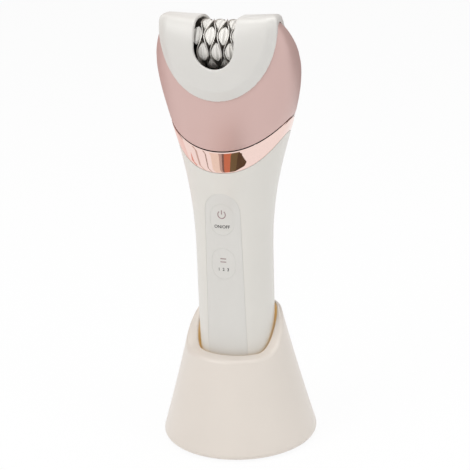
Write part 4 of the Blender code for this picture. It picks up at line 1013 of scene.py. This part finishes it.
skin_saddle = rolled("skin_saddle", AROUND, CAP_ROWS + CAP_DOME_ROWS, cap_point)
saddle_tool = prism("saddle_tool", cap_outline(), CUT_FRONT_Y, CUT_BACK_Y)
for corner in saddle_tool.data.vertices:
    corner.co.x *= cap_share(corner.co.y)
carve(skin_saddle, saddle_tool, "INTERSECT")
carve(skin_saddle, rolled("hollow_tool", AROUND, CAP_ROWS + CAP_DOME_ROWS, hollow_point))
slot_outline = u_outline(SLOT_HALF_WIDTH, SLOT_ARC_Z)
carve(skin_saddle, prism("slot_tool", slot_outline, CUT_FRONT_Y, SLOT_BACK_Y))
modify(skin_saddle, "REMESH", mode="VOXEL", voxel_size=CAP_VOXEL)
modify(skin_saddle, "SMOOTH", factor=CAP_SMOOTHING, iterations=CAP_SMOOTH_ROUNDS)
settle(skin_saddle, "cap", "cap_plastic", "skin_cap", angle=CAP_SMOOTH_ANGLE)

# %% [markdown]
# ## Tweezer drum
#
# The drum is a stack of thin wavy discs. Neighbours wave against each other, so the space between
# two of them opens into a lens four times in a turn, and a ribbed pad fills each lens. A disc is a
# grid rolled into a washer. A pad is a grid bent round the axle, as wide as the gap at each angle.

# %% Discs
DRUM_Y = -0.0060
DRUM_Z = 0.1752
DISC_COUNT = 6
DISC_PITCH = 0.00285
DISC_RADIUS = 0.0102
DISC_BORE = 0.0053
DISC_THICKNESS = 0.00026
DISC_WAVE = 0.0010
WAVES = 4
WAVE_PHASE = math.radians(12)
DISC_COLUMNS = 160


def drum_point(x, angle, radius):
    return Vector((x, DRUM_Y + radius * math.cos(angle), DRUM_Z + radius * math.sin(angle)))


def make_disc(index):
    middle = (index - (DISC_COUNT - 1) / 2) * DISC_PITCH
    sign = 1 if index % 2 else -1
    edge = DISC_THICKNESS / 2
    soft = edge / 2
    profile = (
        (DISC_BORE, -edge), (DISC_RADIUS - soft, -edge), (DISC_RADIUS, -soft),
        (DISC_RADIUS, soft), (DISC_RADIUS - soft, edge), (DISC_BORE, edge), (DISC_BORE, -edge))

    def place(column, row):
        angle = turn_at(column, DISC_COLUMNS)
        radius, side = profile[row]
        wave = sign * DISC_WAVE * math.cos(WAVES * (angle - WAVE_PHASE))
        return drum_point(middle + wave + side, angle, radius)

    disc = rolled(f"wavy_disc_{index + 1}", DISC_COLUMNS, len(profile) - 1, place)
    settle(disc, "drum", "disc_steel", f"tweezer_disc_{index + 1}")


for index in range(DISC_COUNT):
    make_disc(index)

# %% One pad
PAD_RADIUS = 0.0100
PAD_ROOT = 0.0050
PAD_SPREAD = math.radians(100)
PAD_TAPER = 0.86
PAD_COLUMNS = 40
PAD_SIDE_COLUMNS = 2
PAD_ROWS = 28
PAD_DOME = 0.0007
PAD_END_POWER = 4
PAD_RIB = 0.00036
PAD_RIB_WAVES = 2.5
PAD_CLEARANCE = 0.00006


def make_pad(name, middle, centre_angle):
    """One ribbed lens: its width follows the gap between two discs, and its face swells."""
    plain = (DISC_PITCH - DISC_THICKNESS) / 2 - PAD_CLEARANCE
    face_columns = PAD_COLUMNS - 2 * PAD_SIDE_COLUMNS

    def place(column, row):
        swing = mix(-PAD_SPREAD, PAD_SPREAD, row / PAD_ROWS)
        taper = math.sqrt(1 - PAD_TAPER * (swing / PAD_SPREAD) ** 2)
        half = (plain + DISC_WAVE * math.cos(swing)) * taper
        across = mix(-1.0, 1.0, (column - PAD_SIDE_COLUMNS) / face_columns)
        angle = centre_angle + swing / WAVES
        if column in (0, PAD_COLUMNS):
            return drum_point(middle, angle, PAD_ROOT)
        if column in (1, PAD_COLUMNS - 1):
            return drum_point(middle + math.copysign(half, across), angle, PAD_ROOT)
        end = 1 - abs(swing / PAD_SPREAD) ** PAD_END_POWER
        rib = PAD_RIB * math.cos(across * math.pi * PAD_RIB_WAVES) * end
        radius = PAD_RADIUS - PAD_DOME * across ** 2 - PAD_DOME * (1 - end) + rib
        return drum_point(middle + half * across, angle, radius)

    pad = rolled(name, PAD_COLUMNS, PAD_ROWS, place)
    with editing(pad):
        bpy.ops.mesh.select_all(action="DESELECT")
        bpy.ops.mesh.select_mode(type="EDGE")
        bpy.ops.mesh.select_non_manifold()
        bpy.ops.mesh.edge_face_add()
        bpy.ops.mesh.select_all(action="SELECT")
        bpy.ops.mesh.normals_make_consistent(inside=False)
    return pad


print("ribs of a pad:", PAD_RIB * 1000, "mm high")

# %% Rows of pads
HUB_RADIUS = 0.0050
HUB_SIDES = 48
HUB_SHARE = 0.9
HUB_ROUND = 0.0002
HUB_ROUND_STEPS = 2


def make_spacer(index):
    """A hub, dark brown partly as painted shade of the gaps between discs, with a pad in each of
    its lenses.
    """
    middle = (index - DISC_COUNT / 2) * DISC_PITCH
    hub = added(
        f"pad_row_{index + 1}", bpy.ops.mesh.primitive_cylinder_add,
        vertices=HUB_SIDES, radius=HUB_RADIUS, depth=DISC_PITCH * HUB_SHARE,
        location=(middle, DRUM_Y, DRUM_Z), rotation=(0.0, math.pi / 2, 0.0))
    paint(hub, HUB_COLOUR_AND_SHADE)
    bpy.ops.object.transform_apply(location=True, rotation=True, scale=True)
    modify(hub, "BEVEL", width=HUB_ROUND, segments=HUB_ROUND_STEPS, limit_method="ANGLE")
    shift = math.pi / WAVES if (index - DISC_COUNT // 2) % 2 else 0.0
    pads = []
    for number in range(WAVES):
        centre = WAVE_PHASE + shift + number * 2 * math.pi / WAVES
        pads.append(make_pad(f"pad_{index}_{number}", middle, centre))
        paint(pads[-1], FINISHES["pad_plastic"])
    only(hub)
    for pad in pads:
        pad.select_set(True)
    bpy.ops.object.join()
    settle(hub, "drum", "pad_plastic", f"pad_spacer_{index + 1}")


for index in range(DISC_COUNT + 1):
    make_spacer(index)

# %% [markdown]
# ## Stand
#
# The stand is a cone with a well for the handle and a rim that is low in front and high behind.
# One profile runs from under the floor of the well, down the inside of the skirt, up its outside,
# over the rim and down the well, and the grid carries it round. Light through the plastic glows
# warm inside the narrow gap, so the well's wall gets a painted glow: an amber colour that shines a
# little.

# %% Cone and rim
STAND_RADIUS = 0.0348
STAND_RIM_RADIUS = 0.0186
STAND_HEIGHT = 0.0610
STAND_FLARE = 0.0005
FRONT_RIM_Z = 0.0425
BACK_RIM_Z = 0.0585
RIM_FRONT_Y = -0.0130
RIM_BACK_Y = 0.0090
RIM_MIDDLE_RADIUS = 0.0185
ROUND_STEPS = 8


def skirt_radius(z):
    share = z / STAND_HEIGHT
    return mix(STAND_RADIUS, STAND_RIM_RADIUS, share) - STAND_FLARE * 4 * share * (1 - share)


def rim_height(angle):
    y = -RIM_MIDDLE_RADIUS * math.cos(angle)
    share = smoothstep((y - RIM_FRONT_Y) / (RIM_BACK_Y - RIM_FRONT_Y))
    return mix(FRONT_RIM_Z, BACK_RIM_Z, share)


def around_axis(angle, radius, z):
    return Vector((radius * math.sin(angle), -radius * math.cos(angle), z))


def quarter():
    """Sine and cosine at the steps of a quarter turn, for a rounded edge."""
    turns = [math.pi / 2 * step / ROUND_STEPS for step in range(ROUND_STEPS + 1)]
    return [(math.sin(turn), math.cos(turn)) for turn in turns]


print("rim from", rim_height(0.0), "to", rim_height(math.pi), "m")

# %% Stand shell
STAND_SKIRT_Z = 0.0008
STAND_WALL = 0.0022
STAND_FOOT_ROUND = 0.0026
SKIRT_ROWS = 22
RIM_ROUND = 0.0016
HOLLOW_TOP_Z = 0.0400
HOLLOW_DROP = 0.005
WELL_GAP = 0.0010
WELL_WALL = 0.0018
WELL_ROUND = 0.0007
WELL_ROWS = 8
WELL_FLOOR_Z = 0.0106
WELL_FLOOR_THICKNESS = 0.0024


def stand_profile(angle):
    """Points of the stand's section at an angle, from under the well to its floor."""
    rim = rim_height(angle)
    under = WELL_FLOOR_Z - WELL_FLOOR_THICKNESS
    hollow = min(rim - HOLLOW_DROP, HOLLOW_TOP_Z)
    outside = -WELL_GAP - WELL_WALL
    points = [Vector((0.0, 0.0, under)), skin(angle, under, outside), skin(angle, hollow, outside)]
    points.append(around_axis(angle, skirt_radius(hollow) - STAND_WALL, hollow))
    points.append(around_axis(angle, skirt_radius(STAND_SKIRT_Z) - STAND_WALL, STAND_SKIRT_Z))
    for sine, cosine in quarter():
        z = STAND_SKIRT_Z + STAND_FOOT_ROUND * (1 - cosine)
        points.append(around_axis(angle, skirt_radius(z) - STAND_FOOT_ROUND * (1 - sine), z))
    skirt_low = STAND_SKIRT_Z + STAND_FOOT_ROUND
    for step in range(1, SKIRT_ROWS):
        z = mix(skirt_low, rim - RIM_ROUND, step / SKIRT_ROWS)
        points.append(around_axis(angle, skirt_radius(z), z))
    for sine, cosine in quarter():
        z = rim - RIM_ROUND * (1 - sine)
        points.append(around_axis(angle, skirt_radius(z) - RIM_ROUND * (1 - cosine), z))
    for sine, cosine in quarter():
        z = rim - WELL_ROUND * (1 - cosine)
        points.append(skin(angle, z, -WELL_GAP - WELL_ROUND * (1 - sine)))
    for step in range(1, WELL_ROWS + 1):
        z = mix(rim - WELL_ROUND, WELL_FLOOR_Z, step / WELL_ROWS)
        points.append(skin(angle, z, -WELL_GAP))
    points.append(Vector((0.0, 0.0, WELL_FLOOR_Z)))
    return points


stand_sections = [stand_profile(turn_at(column, AROUND)) for column in range(AROUND)]


def stand_point(column, row):
    return stand_sections[column % AROUND][row]


stand_cone = rolled("stand_cone", AROUND, len(stand_sections[0]) - 1, stand_point)
print("stand section:", len(stand_sections[0]), "points")

# %% Inlet hole and painted glow in the well
INLET_HALF_WIDTH = 0.0058
INLET_LOW_Z = 0.0035
INLET_HIGH_Z = 0.0103
INLET_FRONT_Y = 0.0250
INLET_BACK_Y = STAND_RADIUS + 0.002

inlet_outline = [
    (-INLET_HALF_WIDTH, INLET_LOW_Z), (INLET_HALF_WIDTH, INLET_LOW_Z),
    (INLET_HALF_WIDTH, INLET_HIGH_Z), (-INLET_HALF_WIDTH, INLET_HIGH_Z)]
carve(stand_cone, prism("inlet_tool", inlet_outline, INLET_FRONT_Y, INLET_BACK_Y))
# The well's inner wall gets the painted glow: warm light through the plastic, given as a colour
# that shines.
paint(stand_cone, FINISHES["stand_plastic"], WELL_PAINTED_GLOW)
for face in stand_cone.data.polygons:
    across = Vector((face.center.x, face.center.y, 0.0))
    inward = face.normal.dot(across) < 0
    angle = math.atan2(across.x, -across.y)
    wall_top = rim_height(angle) - WELL_ROUND
    well_wall = skin(angle, face.center.z, -WELL_GAP - WELL_WALL / 2)
    in_well = WELL_FLOOR_Z < face.center.z < wall_top and across.length < well_wall.xy.length
    if inward and in_well:
        face.material_index = 1
settle(stand_cone, "stand", "stand_plastic", "stand_shell")

# %% [markdown]
# ## Floor
#
# The object stands on a plain white floor. A floor that is only lit would look grey, so it shows
# itself white to the camera and to reflections. It keeps part of its own shading, so the object
# keeps a contact shadow.

# %% Floor
WHITE = (1.0, 1.0, 1.0, 1.0)
FLOOR_SIZE = 6.0
FLOOR_Z = -0.00005
FLOOR_COLOUR = (0.95, 0.95, 0.95, 1.0)
FLOOR_ROUGHNESS = 0.9
FLOOR_GLOW = 0.93

floor = added(
    "white_floor", bpy.ops.mesh.primitive_plane_add,
    size=FLOOR_SIZE, location=(0.0, 0.0, FLOOR_Z))
floor_finish = Finish("floor_white")
floor_finish.set(Base_Color=FLOOR_COLOUR, Roughness=FLOOR_ROUGHNESS)
floor_shade = Value(floor_finish, floor_finish.shader.outputs[0])
floor_light = floor_finish.node("ShaderNodeEmission", {}, {"Color": WHITE, "Strength": 1.0})
floor_share = floor_finish.seen_rays() * FLOOR_GLOW
floor_blend = {0: floor_share, 1: floor_shade, 2: floor_light}
floor_surface = floor_finish.node("ShaderNodeMixShader", {}, floor_blend)
floor_finish.feed(floor_finish.tree.nodes["Material Output"], {"Surface": floor_surface})
paint(floor, floor_finish.material)
print("floor", FLOOR_SIZE, "m wide")

# %% [markdown]
# ## Cards
#
# A mirror shows what stands around it, and in a white room the plated ring would only be pale.
# So small dark, copper and pale cards stand low around it, as the things of a real studio do.
# Two larger cards behind shade the sides of the satin head. Only mirror rays see any of the
# cards: they throw no shadow or light.

# %% Cards
NEAR = 0.050
CARD_LOW_Z = 0.093
CARD_HIGH_Z = 0.132
BLACK = (0.0, 0.0, 0.0, 1.0)


def mirror_card(name, colour, distance, outline):
    """A card at a distance from the axis, from points of turn off the camera and height."""
    points = []
    for degrees, height in outline:
        turn = CAMERA_TURN + math.radians(degrees)
        points.append((distance * math.sin(turn), -distance * math.cos(turn), height))
    card = polygon(name, points)
    finish = Finish(name)
    finish.set(Base_Color=BLACK, Emission_Color=(*colour, 1.0), Emission_Strength=1.0)
    paint(card, finish.material)
    card.visible_camera = False
    card.visible_diffuse = False
    card.visible_shadow = False
    card.visible_transmission = False


def upright(start, end, low=CARD_LOW_Z, high=CARD_HIGH_Z):
    """Outline of a card between two turns and two heights."""
    return [(start, low), (end, low), (end, high), (start, high)]


umber_outline = [(-6, CARD_LOW_Z), (0, 0.0990), (4, 0.1034)]
umber_outline += [(13, 0.1118), (2, 0.1190), (-4, 0.1270), (-6, CARD_HIGH_Z)]
salmon_outline = [(-90, 0.100), (-80, 0.104), (-82, 0.118), (-88, 0.112)]
# Each card has a name, a colour, a distance from the axis in metres and an outline.
CARDS = (
    ("umber_card", (0.085, 0.050, 0.022), NEAR, umber_outline),
    ("olive_card", (0.150, 0.110, 0.048), NEAR, upright(-17, -6)),
    ("copper_card", (0.58, 0.19, 0.10), NEAR, upright(-26.5, -17)),
    ("brown_card", (0.20, 0.12, 0.10), NEAR, upright(-29, -26.5)),
    ("mauve_card", (0.52, 0.40, 0.36), NEAR, upright(-32, -29)),
    ("cream_card", (0.88, 0.80, 0.71), NEAR, upright(-42, -32)),
    ("line_card", (0.40, 0.34, 0.31), NEAR, upright(-51, -49)),
    ("streak_card", (0.62, 0.52, 0.48), NEAR, upright(-69, -65)),
    ("salmon_card", (0.78, 0.42, 0.36), NEAR, salmon_outline),
    ("blush_card", (0.92, 0.80, 0.78), NEAR, upright(-150, -97)),
    ("pink_card", (0.45, 0.30, 0.28), 0.30, upright(-175, -100, 0.06, 0.6)),
    ("shade_card", (0.20, 0.15, 0.14), 0.40, upright(90, 178, 0.055, 0.9)),
)
for name, colour, distance, outline in CARDS:
    mirror_card(name, colour, distance, outline)
print("cards:", len(CARDS))

# %% [markdown]
# ## Light
#
# Soft light comes from all around, from a large lamp at the front left, from one above and from a
# weaker one at the right, which no mirror shows. The room is a plain white to the camera and in
# reflections, and lights the object with less than that, so pale plastic doesn't burn out.

# %% Lamps
def soft_lamp(name, place, size, power, colour=(1.0, 1.0, 1.0), mirrored=True):
    lamp = added(name, bpy.ops.object.light_add, type="AREA", location=place)
    lamp.data.shape = "RECTANGLE"
    lamp.data.size, lamp.data.size_y = size
    lamp.data.energy = power
    lamp.data.color = colour
    lamp.rotation_euler = (CAMERA_TARGET - Vector(place)).to_track_quat("-Z", "Y").to_euler()
    lamp.visible_glossy = mirrored
    print(name, power, "W")


soft_lamp("key_lamp", place=(-0.55, -0.75, 0.75), size=(0.7, 0.7), power=4.4)
soft_lamp(
    "side_lamp", place=(0.95, -0.25, 0.45), size=(0.5, 0.8), power=2.5,
    colour=(0.95, 0.98, 1.0), mirrored=False)
soft_lamp("top_lamp", place=(0.0, 0.05, 1.1), size=(0.7, 0.7), power=4.4)

# %% World
WORLD_STRENGTH = 0.455

world = bpy.data.worlds.new("studio")
bpy.context.scene.world = world
studio = NodeTree(world)
background = studio.tree.nodes["Background"]
studio.feed(background, {"Color": WHITE, "Strength": WORLD_STRENGTH})
room_light = Value(studio, background.outputs[0])
white_room = studio.node("ShaderNodeBackground", {}, {"Color": WHITE, "Strength": 1.0})
room_blend = {0: studio.seen_rays(), 1: room_light, 2: white_room}
room = studio.node("ShaderNodeMixShader", {}, room_blend)
studio.feed(studio.tree.nodes["World Output"], {"Surface": room})
bpy.context.scene.view_settings.view_transform = "Standard"
print("world strength:", WORLD_STRENGTH)
